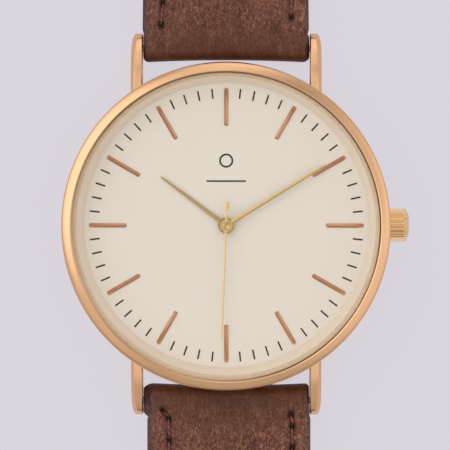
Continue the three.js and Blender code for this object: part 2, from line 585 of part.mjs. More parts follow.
// The short half: level from the bar to the keepers, its far end rolled round the buckle bar.
const SHORT = {
  bottom: [[-0.25, 0.85], [4, 0.85], [14, 0.95], [28, 1.15], [50, 1.15], [STRAP_12_LENGTH, 1.15]],
  thickness: [2.9, 2.9, 2.8, 2.5, 2.25, 2.2],
  roll: -0.25,
  rollRadius: 1.45,
  end: [[75.8, 1.48], [76.1, 2.25], [75.8, 3.02]],
};
// The long half: down to the surface it lies on, level to a thin tip.
const LONG = {
  bottom: [[-0.55, 0.75], [3, 0.6], [9, 0.18], [16, 0], [60, 0], [STRAP_6_LENGTH, 0]],
  thickness: [3.1, 3.05, 2.85, 2.7, 2.4, 1.9],
  roll: -0.55,
  rollRadius: 1.55,
  end: [],
};

// The half's outline from above, as [x, s], narrow between the lugs and tapered beyond them.
function strapPlan(length, tip) {
  const { lugHalfWidth, halfWidth, endHalfWidth } = STRAP;
  const lugEnd = [[lugHalfWidth - 0.5, -3], [lugHalfWidth, -2.4], [lugHalfWidth, 1.9]];
  const side = [...lugEnd, [halfWidth, 2.3], [halfWidth, 6], [endHalfWidth, length - 12], ...tip];
  return [...side, ...side.map(([x, s]) => [-x, s]).reverse()];
}

function strapHalf(form, plan, towards, shiftX = 0) {
  const side = strapSide(form).map(([s, z]) => [towards * (BAR.y + s), z]);
  const outline = plan.map(([x, s]) => [x + shiftX, towards * (BAR.y + s)]);
  const body = common(drawAlongX(side, -12, 12), raise(outline, -1, 6));
  return cut(body, rodAlongX(STRAP.tunnel, -12, 12, towards * BAR.y, BAR.z, 16));
}

function shortStrap() {
  const plan = strapPlan(STRAP_12_LENGTH, [[STRAP.endHalfWidth, 77]]);
  const tongueSlot = block(-1.25, 1.25, BUCKLE.y - 3, BUCKLE.y + 3, 0, 5);
  return cut(strapHalf(SHORT, plan, 1), tongueSlot, rodAlongX(0.72, -12, 12, BUCKLE.y, BUCKLE.z, 16));
}

const HOLES = { first: 54, pitch: 7, count: 7, radius: 0.95 };
const LONG_SHIFT = 0.3; // the long half sits this far towards the crown side of the lugs
function longStrap() {
  const point = [[STRAP.endHalfWidth, 103], [8.3, 108], [5.6, 112.4], [2, 114.7], [0.3, STRAP_6_LENGTH]];
  const body = strapHalf(LONG, strapPlan(STRAP_6_LENGTH, bend(point, 6)), -1, LONG_SHIFT);
  const holes = [];
  for (let i = 0; i < HOLES.count; i++) {
    holes.push(peg(HOLES.radius, -1, 4, [LONG_SHIFT, -(BAR.y + HOLES.first + i * HOLES.pitch)]));
  }
  return cut(body, ...holes);
}

// A leather loop round the short half, tall enough for the tail of the long one.
function keeper(near, width) {
  const { wall, innerHalfWidth, innerTop, outerTop, floor } = KEEPER;
  const half = innerHalfWidth + wall;
  const right = [[half - 0.9, 0], [half, 0.9], [half, outerTop - 1.4], [half - 1.4, outerTop]];
  const loop = [...right, ...right.map(([x, z]) => [-x, z]).reverse()];
  const body = raise(loop, -near - width, -near).rotateX(Math.PI / 2);
  return cut(body, block(-innerHalfWidth, innerHalfWidth, near - 1, near + width + 1, floor, innerTop));
}

add("strap_12", shortStrap(), leather);
add("strap_6", longStrap(), leather);
add("sliding_keeper", keeper(BAR.y + 50, 5.5), leather);
add("fixed_keeper", keeper(BAR.y + 65.5, 5), leather);

// ---------------------------------------------------------------- buckle

// A frame whose arms are bored for the bar and whose front bar lies on the surface.
function buckleFrame() {
  const { y, z, reach, halfWidth, inner } = BUCKLE;
  const under = bend([[y - 1.15, 1.5], [y + 3, 0.95], [y + reach - 2.2, 0.1], [y + reach - 0.4, 0]], 5);
  const frontTop = [[y + reach, 0.5], [y + reach - 0.5, 1.75], [y + reach - 2.6, 2.25]];
  const over = bend([...frontTop, [y + 3, 3.1], [y - 0.4, 3.4], [y - 1.3, 2.5]], 10);
  const solid = drawAlongX([...under, ...over], -halfWidth, halfWidth);
  const front = y + reach - 2.1;
  const corner = 1.6;
  const plan = [[halfWidth, y - 2], [halfWidth, y + reach - corner], [halfWidth - corner, y + reach + 0.1]];
  const outline = [...plan, ...plan.map(([x, at]) => [-x, at]).reverse()];
  const window = block(-inner, inner, y - 3, front, -1, 6);
  const bores = rodAlongX(0.5, -halfWidth + 0.55, halfWidth - 0.55, y, z);
  return cut(common(solid, raise(outline, -1, 5)), window, bores);
}

// A flat pin looped round the bar, lying over the front bar with its tip just past it.
function buckleTongue() {
  const { y, z, reach } = BUCKLE;
  const rollTop = [[y - 1.15, z], [y - 0.7, z + 0.95], [y + 0.4, z + 1.12]];
  const tipTop = [[y + 4, z + 0.95], [y + reach - 2.6, z + 0.7], [y + reach + 0.3, z + 0.1]];
  const tipUnder = [[y + reach + 0.1, z - 0.35], [y + reach - 2.4, z + 0.12], [y + 4, z + 0.15]];
  const rollUnder = [[y + 1.1, z - 0.2], [y + 0.5, z - 1], [y - 0.6, z - 0.95]];
  const outline = [...bend([...rollTop, ...tipTop], 10), ...bend([...tipUnder, ...rollUnder], 8)];
  const side = drawAlongX(outline, -1.05, 1.05);
  return cut(side, rodAlongX(0.66, -3, 3, y, z, 16));
}

// A bar with a narrower end in each arm of the frame.
function buckleBar() {
  const { y, z } = BUCKLE;
  return join(rodAlongX(0.6, -9.2, 9.2, y, z), rodAlongX(0.44, -10.3, 10.3, y, z));
}

add("buckle_frame", buckleFrame(), roseGold);
add("buckle_tongue", buckleTongue(), roseGold);
add("buckle_bar", buckleBar(), steel);

export default watch;
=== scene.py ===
"""The finished looks of a round gold-coloured wristwatch on a stitched leather strap.

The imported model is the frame. Each visible piece is rebuilt here as a fine mesh in the place its frame
node has, and the pieces shut inside the case keep their frame meshes under procedural materials.
Lengths are millimetres until make_mesh scales them to metres.
"""

import json
import math

import bmesh
import bpy
from mathutils import Matrix, Vector, noise


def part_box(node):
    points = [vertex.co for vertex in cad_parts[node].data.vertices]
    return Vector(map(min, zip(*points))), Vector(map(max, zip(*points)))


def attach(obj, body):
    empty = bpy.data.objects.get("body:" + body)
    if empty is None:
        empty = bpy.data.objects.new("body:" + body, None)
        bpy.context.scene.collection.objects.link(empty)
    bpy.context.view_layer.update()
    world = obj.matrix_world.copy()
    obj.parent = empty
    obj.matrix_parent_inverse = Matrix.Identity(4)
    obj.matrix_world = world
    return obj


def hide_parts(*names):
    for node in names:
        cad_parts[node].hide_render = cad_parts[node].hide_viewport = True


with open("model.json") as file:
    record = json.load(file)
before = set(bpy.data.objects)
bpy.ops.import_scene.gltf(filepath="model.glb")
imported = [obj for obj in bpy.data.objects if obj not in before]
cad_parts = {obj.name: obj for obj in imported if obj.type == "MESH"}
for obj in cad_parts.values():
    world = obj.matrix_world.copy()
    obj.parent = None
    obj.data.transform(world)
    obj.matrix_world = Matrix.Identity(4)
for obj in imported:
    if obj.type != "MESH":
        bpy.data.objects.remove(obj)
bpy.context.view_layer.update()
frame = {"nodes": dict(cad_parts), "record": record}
MM = 0.001
TURN = 2 * math.pi

# ---------------------------------------------------------------- driving dimensions

RING_STEPS = 192
SMALL_STEPS = 48

CASE_FLANK = [(17.5, 0.8), (18.3, 1.4), (18.85, 2.4), (19.5, 3.9), (19.75, 5.55)]
CASE_BORE, CASE_FOOT = 16.35, 0.8  # radius inside, and height of the lower edge
CASE_SEAT = (18.5, 3.5)  # radius and height of the ledge under the dial
STEM_Z = 2.6

# The lugs, by distance from the case's middle: their root is buried in the case up to the start, and their
# tip is rounded over from above and below beyond LUG_ROUND.
LUG_ROOT, LUG_START, LUG_ROUND, LUG_TIP = 14.4, 15.6, 22.6, 23.32
LUG_INNER = 10.15
LUG_FLARE = [(16.0, 11.6), (19.5, 11.6), (21.5, 11.56), (22.6, 11.42), (23.25, 11.2)]
LUG_TOP = [(15.6, 5.0), (18.2, 4.8), (21.0, 3.9), (22.2, 3.25), (23.4, 2.5)]
LUG_UNDER = [(LUG_ROOT, 1.45), (20.4, 0.98), (LUG_ROUND, 0.98)]
LUG_BEVEL = [(16, 0.3), (20, 0.42), (LUG_ROUND, 0.5)]  # width of the outer bevel
LUG_BURIED_TOP = 3.3
LUG_NOSE = 0.36  # length of the tip's rounded corners

# The bezel's bore, the lip under the crystal, and the brow round the crystal's upper edge.
BEZEL_BORE, BEZEL_LIP, BEZEL_BROW = 18.8, 18.2, 18.66
BEZEL_BROW_Z = 6.64

BAR_X, BAR_Y, BAR_Z = 10.55, 21.5, 2.3  # middle of each hole in the lugs
BAR_HOLE = 0.45  # radius
BUCKLE_Y, BUCKLE_Z = 96.5, 2.25  # the buckle's bar
BUCKLE_REACH = 9.0
BUCKLE_ARM_OUT, BUCKLE_ARM_IN = 11.0, 9.35
BUCKLE_CORNER = 1.7
BUCKLE_BAR = 0.7  # radius

HOUR_ANGLE, MINUTE_ANGLE, SECOND_ANGLE = 306.7, 58.4, 182.2
SECOND_CAP = 0.5  # radius

TICK_INNER, TICK_OUTER, TICK_WIDTH = 15.5, 16.72, 0.2
PRINT_GAP, PRINT_THICK = 0.002, 0.012  # the print's height over the dial, and its thickness
MARKER_HALF, MARKER_SIDE, MARKER_RIDGE, MARKER_NOSE = 0.26, 0.08, 0.28, 0.25
CROWN_FLUTES, FLUTE_DEPTH = 22, 0.36

# The two strap halves. Lengths run out from the spring bar; stitches are (length, distance in from the
# edge) of the first needle holes of the left and right seams, which go on at the pitch. Up to the length
# "lining", the lining is squeezed out past the top layer between the lugs, and painted dark there as shade.
SHORT = {
    "towards": 1,
    "shift": -0.08,
    "roll": (-0.25, 1.45),
    "length": 76.1,
    "under": [(-0.25, 0.85), (4, 0.85), (14, 0.95), (28, 1.15), (76, 1.15)],
    "thick": [(-0.25, 2.9), (4, 2.9), (14, 2.8), (28, 2.5), (50, 2.25), (76, 2.2)],
    "half_width": [(-1.7, 9.92), (1.85, 9.98), (2.25, 10.12), (6, 10.08), (63, 9.0), (76.1, 9.0)],
    "stitches": ([(2.8, 2.3), (5.6, 2.45)], [(3.75, 2.1), (6.4, 2.1)]),
    "seam_end": 64.0,
    "lining": 1.7,
}
LONG = {
    "towards": -1,
    "shift": 0.3,
    "roll": (-0.55, 1.55),
    "length": 115.0,
    "under": [(-0.55, 0.75), (3, 0.6), (9, 0.2), (16, 0.02), (115, 0.02)],
    "thick": [(-0.55, 3.1), (3, 3.05), (9, 2.85), (16, 2.68), (60, 2.38), (115, 1.88)],
    "half_width": [(-2.1, 9.76), (1.8, 9.84), (2.4, 9.98), (6, 9.98), (103, 9.0)],
    "stitches": ([(1.15, 1.7), (2.1, 2.65), (4.85, 2.7)], [(1.55, 2.2), (3.1, 2.2), (5.7, 2.2)]),
    "seam_end": 103.0,
    "lining": 1.9,
}
LINING_REACH = 10.1  # half width of the squeezed lining
STITCH_PITCH = 2.7
STITCH_GROOVE, STITCH_HOLE = 0.16, 0.4  # depths
STITCH_SPREAD = 0.34  # how wide the groove and the holes are
# The underside is painted in shade, darker than the top by this share.
UNDER_SHADE = 0.25  # how light the underside is, beside the top
STRAP_HALF, STRAP_CROWN = 10.0, 0.12  # half width between the lugs, and how far the middle stands proud
FOLD_ROUND = 1.1  # radius of the fold round the buckle's bar
EDGE_ROUND = (0.95, 0.45)  # radius of the burnished edge on the left and on the right
CORNER_ROUND = 0.8  # length of the rounded corners at the lug end
TAIL_START = 103.0
HOLE_FIRST, HOLE_PITCH, HOLE_COUNT, HOLE_RADIUS = 54, 7, 7, 0.95

# ---------------------------------------------------------------- curves


def smooth_curve(points):
    """A function through the points that never overshoots them, for one value against another."""
    xs = [p[0] for p in points]
    ys = [p[1] for p in points]
    secants = [(ys[i + 1] - ys[i]) / (xs[i + 1] - xs[i]) for i in range(len(xs) - 1)]
    slopes = [secants[0]]
    for before, after in zip(secants, secants[1:]):
        slopes.append(0 if before * after <= 0 else 2 * before * after / (before + after))
    slopes.append(secants[-1])

    def value(x):
        x = min(max(x, xs[0]), xs[-1])
        i = next((k for k in range(len(xs) - 2) if x <= xs[k + 1]), len(xs) - 2)
        width = xs[i + 1] - xs[i]
        t = (x - xs[i]) / width
        rise = ys[i] * (1 + 2 * t) * (1 - t) ** 2 + ys[i + 1] * t * t * (3 - 2 * t)
        lean = width * (slopes[i] * t * (1 - t) ** 2 - slopes[i + 1] * t * t * (1 - t))
        return rise + lean

    return value


def spline(points, count):
    """Points along a smooth curve through the given ones, evenly shared between its spans."""
    knots = [Vector(p) for p in points]
    out = []
    for k in range(count + 1):
        at = k / count * (len(knots) - 1)
        i = min(int(at), len(knots) - 2)
        t = at - i
        a, b = knots[max(i - 1, 0)], knots[i]
        c, d = knots[i + 1], knots[min(i + 2, len(knots) - 1)]
        square, cube = 2 * a - 5 * b + 4 * c - d, 3 * b - a - 3 * c + d
        out.append(0.5 * (2 * b + (c - a) * t + square * t**2 + cube * t**3))
    return [tuple(p) for p in out]


def fillet(loop, radius, steps=4):
    """The closed loop of 2-D points with its corners rounded. Corners on the axis stay sharp."""
    out = []
    for i, corner in enumerate(loop):
        here = Vector(corner)
        before = Vector(loop[i - 1]) - here
        after = Vector(loop[(i + 1) % len(loop)]) - here
        if radius == 0 or here.x == 0:
            out.append(tuple(here))
            continue
        back = min(radius / math.tan(before.angle(after) / 2), 0.45 * before.length, 0.45 * after.length)
        start, end = here + before.normalized() * back, here + after.normalized() * back
        for k in range(steps + 1):
            t = k / steps
            out.append(tuple(start * (1 - t) ** 2 + here * 2 * t * (1 - t) + end * t * t))
    return out


def rounded_rect(half_width, half_height, radius, steps=4):
    corners = [(1, -1), (1, 1), (-1, 1), (-1, -1)]
    return fillet([(x * half_width, y * half_height) for x, y in corners], radius, steps)


def rectangle(low_x, low_y, high_x, high_y):
    return [(low_x, low_y), (high_x, low_y), (high_x, high_y), (low_x, high_y)]


# ---------------------------------------------------------------- meshes


def give_weights(mesh, weights):
    """Named values at the mesh's points, for its material to read."""
    for label, values in weights.items():
        mesh.attributes.new(label, "FLOAT", "POINT").data.foreach_set("value", values)


def make_mesh(name, points, faces, sharp=32, weights=None):
    """An object from points in millimetres, smooth-shaded except over edges sharper than the angle."""
    mesh = bpy.data.meshes.new(name)
    mesh.from_pydata([Vector(p) * MM for p in points], [], faces)
    give_weights(mesh, weights or {})
    shape = bmesh.new()
    shape.from_mesh(mesh)
    bmesh.ops.remove_doubles(shape, verts=shape.verts, dist=1e-8)
    bmesh.ops.recalc_face_normals(shape, faces=shape.faces)
    shape.to_mesh(mesh)
    shape.free()
    mesh.shade_smooth()
    mesh.set_sharp_from_angle(angle=math.radians(sharp))
    obj = bpy.data.objects.new(name, mesh)
    bpy.context.scene.collection.objects.link(obj)
    return obj


def loft(name, rings, closed=False, sharp=32):
    """A solid through rings of equally many points, capped at both ends unless it closes on itself."""
    count = len(rings[0])
    points = [p for ring in rings for p in ring]
    faces = []
    for i in range(len(rings) if closed else len(rings) - 1):
        here, there = i * count, (i + 1) % len(rings) * count
        for j in range(count):
            k = (j + 1) % count
            faces.append((here + j, here + k, there + k, there + j))
    if not closed:
        last = (len(rings) - 1) * count
        faces += [tuple(range(count)), tuple(range(last, last + count))]
    return make_mesh(name, points, faces, sharp)


def lathe(name, loop, steps=RING_STEPS, sharp=32):
    """A turned solid about Z, from a loop of (radius, height) that closes on itself or on the axis."""
    count = len(loop)
    points, faces = [], []
    for i in range(steps):
        c, s = math.cos(TURN * i / steps), math.sin(TURN * i / steps)
        points += [(r * c, r * s, z) for r, z in loop]
    for i in range(steps):
        here, there = i * count, (i + 1) % steps * count
        for j in range(count):
            k = (j + 1) % count
            if loop[j][0] > 0 or loop[k][0] > 0:
                faces.append((here + j, here + k, there + k, there + j))
    return make_mesh(name, points, faces, sharp)


def prism(name, outline, low, high):
    return loft(name, [[(x, y, z) for x, y in outline] for z in (low, high)])


def circle(radius, steps=SMALL_STEPS, centre=(0, 0)):
    return [
        (centre[0] + radius * math.cos(TURN * i / steps), centre[1] + radius * math.sin(TURN * i / steps))
        for i in range(steps)
    ]


def rod_x(name, radius, low, high, y, z, steps=SMALL_STEPS):
    return loft(name, [[(x, y + a, z + b) for a, b in circle(radius, steps)] for x in (low, high)])


def turn_clockwise(obj, degrees):
    obj.data.transform(Matrix.Rotation(-math.radians(degrees), 4, "Z"))
    return obj


def join(name, objects):
    """One object holding the meshes of all of them, which are removed."""
    shape = bmesh.new()
    for obj in objects:
        shape.from_mesh(obj.data)
        bpy.data.objects.remove(obj)
    mesh = bpy.data.meshes.new(name)
    shape.to_mesh(mesh)
    shape.free()
    obj = bpy.data.objects.new(name, mesh)
    bpy.context.scene.collection.objects.link(obj)
    return obj


def boolean(obj, tools, operation, sharp=32):
    """The object joined with or cut by the tools, which are removed."""
    for tool in tools:
        modifier = obj.modifiers.new(tool.name, "BOOLEAN")
        modifier.operation = operation
        modifier.solver = "EXACT"
        modifier.object = tool
    solid = bpy.data.meshes.new_from_object(obj.evaluated_get(bpy.context.evaluated_depsgraph_get()))
    obj.modifiers.clear()
    obj.data = solid
    for tool in tools:
        bpy.data.objects.remove(tool)
    solid.shade_smooth()
    solid.set_sharp_from_angle(angle=math.radians(sharp))
    return obj


def place(obj, body, slot, material, *nodes):
    """Gives a piece its material, the body it rides on, and the frame nodes it stands for."""
    obj.data.materials.clear()
    obj.data.materials.append(material)
    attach(obj, body)
    if nodes:
        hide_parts(*nodes)


def box_mm(node):
    low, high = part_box(node)
    return Vector(low) / MM, Vector(high) / MM


# ---------------------------------------------------------------- material building blocks


def rgb(red, green, blue):
    """A linear colour with alpha from 0-255 screen values."""
    parts = [v / 255 for v in (red, green, blue)]
    return [v / 12.92 if v <= 0.04045 else ((v + 0.055) / 1.055) ** 2.4 for v in parts] + [1]


class Tree:
    """A node tree, and short calls for adding to it."""

    def __init__(self, tree):
        self.tree = tree

    def node(self, kind, inputs=None, **settings):
        made = self.tree.nodes.new(kind)
        for key, value in settings.items():
            setattr(made, key, value)
        for socket, value in (inputs or {}).items():
            self.feed(made.inputs[socket], value)
        return made

    def feed(self, socket, value):
        if isinstance(value, bpy.types.NodeSocket):
            self.tree.links.new(value, socket)
        else:
            socket.default_value = value

    def math(self, operation, a, b):
        return self.node("ShaderNodeMath", {0: a, 1: b}, operation=operation).outputs["Value"]

    def remap(self, value, from_low, from_high, low, high, **settings):
        inputs = {"Value": value, "From Min": from_low, "From Max": from_high}
        inputs |= {"To Min": low, "To Max": high}
        return self.node("ShaderNodeMapRange", inputs, **settings).outputs["Result"]


class Nodes(Tree):
    """A material's node tree with a Principled BSDF, and short calls for the nodes used here."""

    def __init__(self, name, color, roughness, metallic=0, **sockets):
        self.material = bpy.data.materials.new(name)
        self.material.use_nodes = True
        super().__init__(self.material.node_tree)
        self.shader = self.tree.nodes["Principled BSDF"]
        settings = {"Base Color": color, "Roughness": roughness, "Metallic": metallic, **sockets}
        for socket, value in settings.items():
            self.shader.inputs[socket].default_value = value
        self.coordinates = self.node("ShaderNodeTexCoord").outputs["Object"]

    def set(self, socket, value):
        self.feed(self.shader.inputs[socket], value)

    def stretched(self, x, y, z):
        """The piece's own coordinates, scaled. A larger number makes a pattern finer along that axis."""
        made = self.node("ShaderNodeMapping", {"Vector": self.coordinates, "Scale": (x, y, z)})
        return made.outputs["Vector"]

    def noise(self, size, detail=3, vector=None, distortion=0.0):
        """Noise between 0 and 1 whose features are about the size, in millimetres."""
        inputs = {"Vector": vector or self.coordinates, "Scale": 1 / (size * MM)}
        inputs |= {"Detail": detail, "Distortion": distortion}
        return self.node("ShaderNodeTexNoise", inputs).outputs["Fac"]

    def cells(self, size, vector):
        inputs = {"Vector": vector, "Scale": 1 / (size * MM)}
        return self.node("ShaderNodeTexVoronoi", inputs, feature="F1").outputs["Distance"]

    def attribute(self, name):
        return self.node("ShaderNodeAttribute", attribute_name=name).outputs["Fac"]

    def ramp(self, fac, *stops):
        made = self.node("ShaderNodeValToRGB", {"Fac": fac})
        elements = made.color_ramp.elements
        while len(elements) < len(stops):
            elements.new(0.5)
        for element, (position, color) in zip(elements, stops):
            element.position = position
            element.color = color
        return made.outputs["Color"]

    def weighted(self, *pairs):
        """The sum of the values, each times its weight."""
        total = 0.0
        for value, weight in pairs:
            total = self.math("ADD", total, self.math("MULTIPLY", value, weight))
        return total

    def mix(self, fac, a, b):
        # A Mix node's colour inputs are numbers 6 and 7, and its colour output is number 2.
        return self.node("ShaderNodeMix", {"Factor": fac, 6: a, 7: b}, data_type="RGBA").outputs[2]

    def bump(self, height, depth):
        """Fine relief of the depth, in millimetres, from a height between 0 and 1."""
        inputs = {"Height": height, "Strength": 1.0, "Distance": depth * MM}
        self.set("Normal", self.node("ShaderNodeBump", inputs).outputs["Normal"])


def polished(name, color, roughness):
    """Polished plating: faint smudges in its gloss and hairline unevenness."""
    made = Nodes(name, color, roughness, metallic=1)
    made.set("Roughness", made.remap(made.noise(2.5, 4), 0.35, 0.7, roughness - 0.02, roughness + 0.04))
    tint = [v * 0.93 for v in color[:3]] + [1]
    made.set("Base Color", made.mix(made.noise(4, 2), color, tint))
    made.bump(made.noise(0.12, 2), 0.0006)
    return made.material


def brushed_rings(name, color, roughness):
    """Metal with fine circular brushing about Z."""
    made = Nodes(name, color, roughness, metallic=1)
    split = made.node("ShaderNodeSeparateXYZ", {"Vector": made.coordinates})
    x, y = split.outputs["X"], split.outputs["Y"]
    square = made.math("ADD", made.math("MULTIPLY", x, x), made.math("MULTIPLY", y, y))
    rings = {"W": made.math("SQRT", square, 0), "Scale": 9000.0, "Detail": 2.0}
    grooves = made.node("ShaderNodeTexNoise", rings, noise_dimensions="1D").outputs["Fac"]
    made.set("Roughness", made.remap(grooves, 0.3, 0.7, roughness - 0.08, roughness + 0.12))
    made.bump(grooves, 0.004)
    return made.material


def satin(name, color, roughness, metallic=0, grain=0.15, depth=0.004):
    """An even, softly grained surface: plastics, lacquers and satin metal."""
    made = Nodes(name, color, roughness, metallic)
    grains = made.noise(grain, 3)
    dark = [v * 0.86 for v in color[:3]] + [1]
    made.set("Base Color", made.mix(made.noise(grain * 9, 3), color, dark))
    made.set("Roughness", made.remap(grains, 0.3, 0.7, roughness - 0.06, roughness + 0.08))
    made.bump(grains, depth)
    return made.material


def dial_paint(name, light, dark):
    """Cream lacquer with a fine metallic grain."""
    made = Nodes(name, light, 0.42, **{"Specular IOR Level": 0.35})
    fine = made.noise(0.09, 2)
    made.set("Base Color", made.mix(fine, light, dark))
    made.set("Roughness", made.remap(made.noise(0.6, 3), 0.3, 0.7, 0.36, 0.5))
    made.bump(fine, 0.0015)
    return made.material


def clear_glass():
    """Clear crystal: it is see-through face on and mirrors more towards grazing angles."""
    made = Nodes("crystal_glass", rgb(255, 255, 255), 0.02, metallic=1, Alpha=0.05)
    slant = made.node("ShaderNodeLayerWeight", {"Blend": 0.5}).outputs["Facing"]
    made.set("Alpha", made.remap(made.math("POWER", slant, 4.0), 0.0, 1.0, 0.02, 0.7))
    return made.material


def strap_leather():
    """Waxed calf leather: mottled brown with fibrous grain and creases, pale spots painted as glints,
    painted shade at the lug ends and burnished edges with a painted sheen.
    """
    made = Nodes("strap_leather", rgb(97, 48, 27), 0.5, **{"Specular IOR Level": 0.3})
    fibres = made.noise(0.26, 4, made.stretched(1, 0.34, 1), 0.6)
    specks = made.noise(0.27, 2)
    patches = made.noise(1.6, 4, made.stretched(1, 0.6, 1), 0.8)
    # Pale spots are painted highlight: glints standing in for light caught by the grain's tiny bumps.
    glint_flecks = made.noise(0.32, 3, made.stretched(1, 0.5, 1), 1.6)
    ripples = made.math("SUBTRACT", made.noise(0.62, 3, made.stretched(1, 0.45, 1), 1.2), 0.5)
    tone = made.weighted((fibres, 0.45), (specks, 0.3), (patches, 0.25))
    dark, middle, light = rgb(62, 29, 16), rgb(88, 44, 28), rgb(112, 64, 46)
    brown = made.ramp(tone, (0.43, dark), (0.5, middle), (0.56, light))
    tinted = made.mix(made.remap(made.noise(1.8, 3), 0.42, 0.6, 0, 0.5), brown, rgb(102, 55, 47))
    glint_flecked = made.mix(made.remap(glint_flecks, 0.54, 0.64, 0, 0.8), tinted, rgb(158, 106, 84))
    crease = made.remap(made.math("ABSOLUTE", ripples, 0), 0.0, 0.05, 0.5, 0)
    creased = made.mix(made.math("MULTIPLY", crease, patches), glint_flecked, rgb(184, 134, 106))
    # Painted shade at the lug end, where the strap rolls down away from the light.
    end_shade = made.math("MULTIPLY", made.attribute("end"), made.remap(patches, 0.3, 0.6, 1.0, 0.7))
    end_shaded = made.mix(end_shade, creased, rgb(80, 41, 14))
    # The shade weight mixes in painted shade: stitch grooves, needle holes, the squeezed lining and the
    # underside.
    sunk = made.mix(made.attribute("shade"), rgb(26, 10, 7), end_shaded)
    # The burnished edge paint, lightened towards purple-grey by a painted sheen from its rounded edge.
    burnish_and_sheen = made.ramp(fibres, (0.38, rgb(64, 38, 38)), (0.62, rgb(98, 68, 70)))
    made.set("Base Color", made.mix(made.attribute("edge"), sunk, burnish_and_sheen))
    made.set("Roughness", made.remap(fibres, 0.3, 0.7, 0.4, 0.58))
    pebbles = made.cells(0.38, made.stretched(1, 0.6, 1))
    made.bump(made.weighted((pebbles, 0.5), (fibres, 0.8), (specks, 0.4)), 0.06)
    return made.material


def waxed_thread():
    """Twisted thread, with its plies wound along it."""
    made = Nodes("stitch_thread", rgb(120, 52, 47), 0.6)
    twist = {"Vector": made.stretched(1, 1, 0), "Scale": 900.0, "Distortion": 0.6}
    plies = made.node("ShaderNodeTexWave", twist, bands_direction="DIAGONAL").outputs["Fac"]
    made.set("Base Color", made.mix(plies, rgb(92, 38, 34), rgb(140, 72, 64)))
    made.bump(plies, 0.03)
    return made.material


def printed_ink():
    made = Nodes("print_ink", rgb(20, 17, 18), 0.6, **{"Specular IOR Level": 0.2})
    made.set("Base Color", made.mix(made.noise(0.2, 2), rgb(8, 5, 5), rgb(20, 14, 13)))
    return made.material


GOLD = polished("case_gold", rgb(240, 190, 146), 0.1)
INDEX_GOLD = polished("index_gold", rgb(224, 170, 132), 0.14)
HAND_GOLD = polished("hand_gold", rgb(212, 180, 118), 0.2)
# The crown is the case's gold, painted paler here: painted light that offsets the redder reflections
# between its flutes.
CROWN_GOLD_PAINTED_PALE = polished("crown_gold_painted_pale", rgb(240, 207, 164), 0.08)
BACK_STEEL = brushed_rings("back_steel", rgb(205, 204, 206), 0.3)
PART_STEEL = satin("part_steel", rgb(205, 205, 207), 0.3, metallic=1, grain=0.3, depth=0.002)
WHEEL_BRASS = brushed_rings("wheel_brass", rgb(214, 178, 110), 0.32)
FRAME_PLASTIC = satin("frame_plastic", rgb(226, 223, 214), 0.5)
COIL_COPPER = satin("coil_copper", rgb(190, 112, 66), 0.35, metallic=1, grain=0.08, depth=0.02)
BOARD_GREEN = satin("board_green", rgb(52, 96, 66), 0.4)
GASKET_RUBBER = satin("gasket_rubber", rgb(38, 24, 18), 0.65)
GASKET_NYLON = satin("gasket_nylon", rgb(226, 206, 176), 0.5)
DIAL_CREAM = dial_paint("dial_cream", rgb(236, 227, 214), rgb(227, 217, 203))
FLANGE_CREAM = dial_paint("flange_cream", rgb(240, 224, 203), rgb(232, 214, 193))
CRYSTAL_GLASS = clear_glass()
LEATHER = strap_leather()
THREAD = waxed_thread()
INK = printed_ink()

# ---------------------------------------------------------------- case, bezel, crystal, back


def lug_ring(y, side_x, side_y):
    """One cross-section of a lug: a flat-topped block, bevelled narrowly inside and broadly outside."""
    nose = min(max(y - (LUG_TIP - LUG_NOSE), 0) / LUG_NOSE, 0.995)
    pinch = LUG_NOSE * (1 - math.sqrt(1 - nose**2))
    inner, outer = LUG_INNER + 0.45 * pinch, smooth_curve(LUG_FLARE)(y) - 0.6 * pinch
    low = smooth_curve(LUG_UNDER)(y)
    high = smooth_curve(LUG_TOP)(y) if y >= LUG_START else LUG_BURIED_TOP
    # The tip closes in on a line just under the middle of its height.
    share = math.sqrt(1 - (max(y - LUG_ROUND, 0) / (LUG_TIP - LUG_ROUND)) ** 2)
    middle, half = (high + low) / 2 - 0.05 * (1 - share), (high - low) / 2 * share
    low, high = middle - half, middle + half
    width = smooth_curve(LUG_BEVEL)(y) * (0.3 + 0.7 * share)
    drop = min(1.1 * width, 0.4 * (high - low))
    inset = 0.16 * share
    corners = [(inner, low), (inner, high - inset), (inner + inset, high)]
    corners += [(outer - width, high), (outer, high - drop), (outer, low)]
    return [(side_x * x, side_y * y, z) for x, z in fillet(corners, 0.05, 3)]


def lug(side_x, side_y):
    stations = [LUG_ROOT, LUG_START - 0.1, LUG_START]
    stations += [LUG_START + (LUG_ROUND - LUG_START) * k / 28 for k in range(1, 29)]
    stations += [LUG_ROUND + (LUG_TIP - LUG_ROUND) * math.sin(math.pi / 2 * k / 10) for k in range(1, 10)]
    stations.append(LUG_TIP - 0.004)
    return loft("lug", [lug_ring(y, side_x, side_y) for y in stations], sharp=28)


def case_body():
    """The middle part: a turned ring with four lugs, their spring bar holes and the hole for the stem."""
    seat_radius, seat_z = CASE_SEAT
    rim, top = CASE_FLANK[-1]
    flank = [*spline(CASE_FLANK, 28)[:-1], (rim, top - 0.06), (rim - 0.06, top)]
    loop = [(CASE_BORE, CASE_FOOT), *flank, (seat_radius, top), (seat_radius, seat_z), (CASE_BORE, seat_z)]
    ring = lathe("case_body", loop)
    corners = [(x, y) for x in (-1, 1) for y in (-1, 1)]
    body = boolean(ring, [lug(x, y) for x, y in corners], "UNION")
    drills = []
    for x, y in corners:
        drills.append(rod_x("drill", BAR_HOLE, x * BAR_X - 0.5, x * BAR_X + 0.5, y * BAR_Y, BAR_Z, 24))
    drills.append(rod_x("stem_hole", 0.75, 15, 21, 0, STEM_Z, 32))
    return boolean(body, drills, "DIFFERENCE")


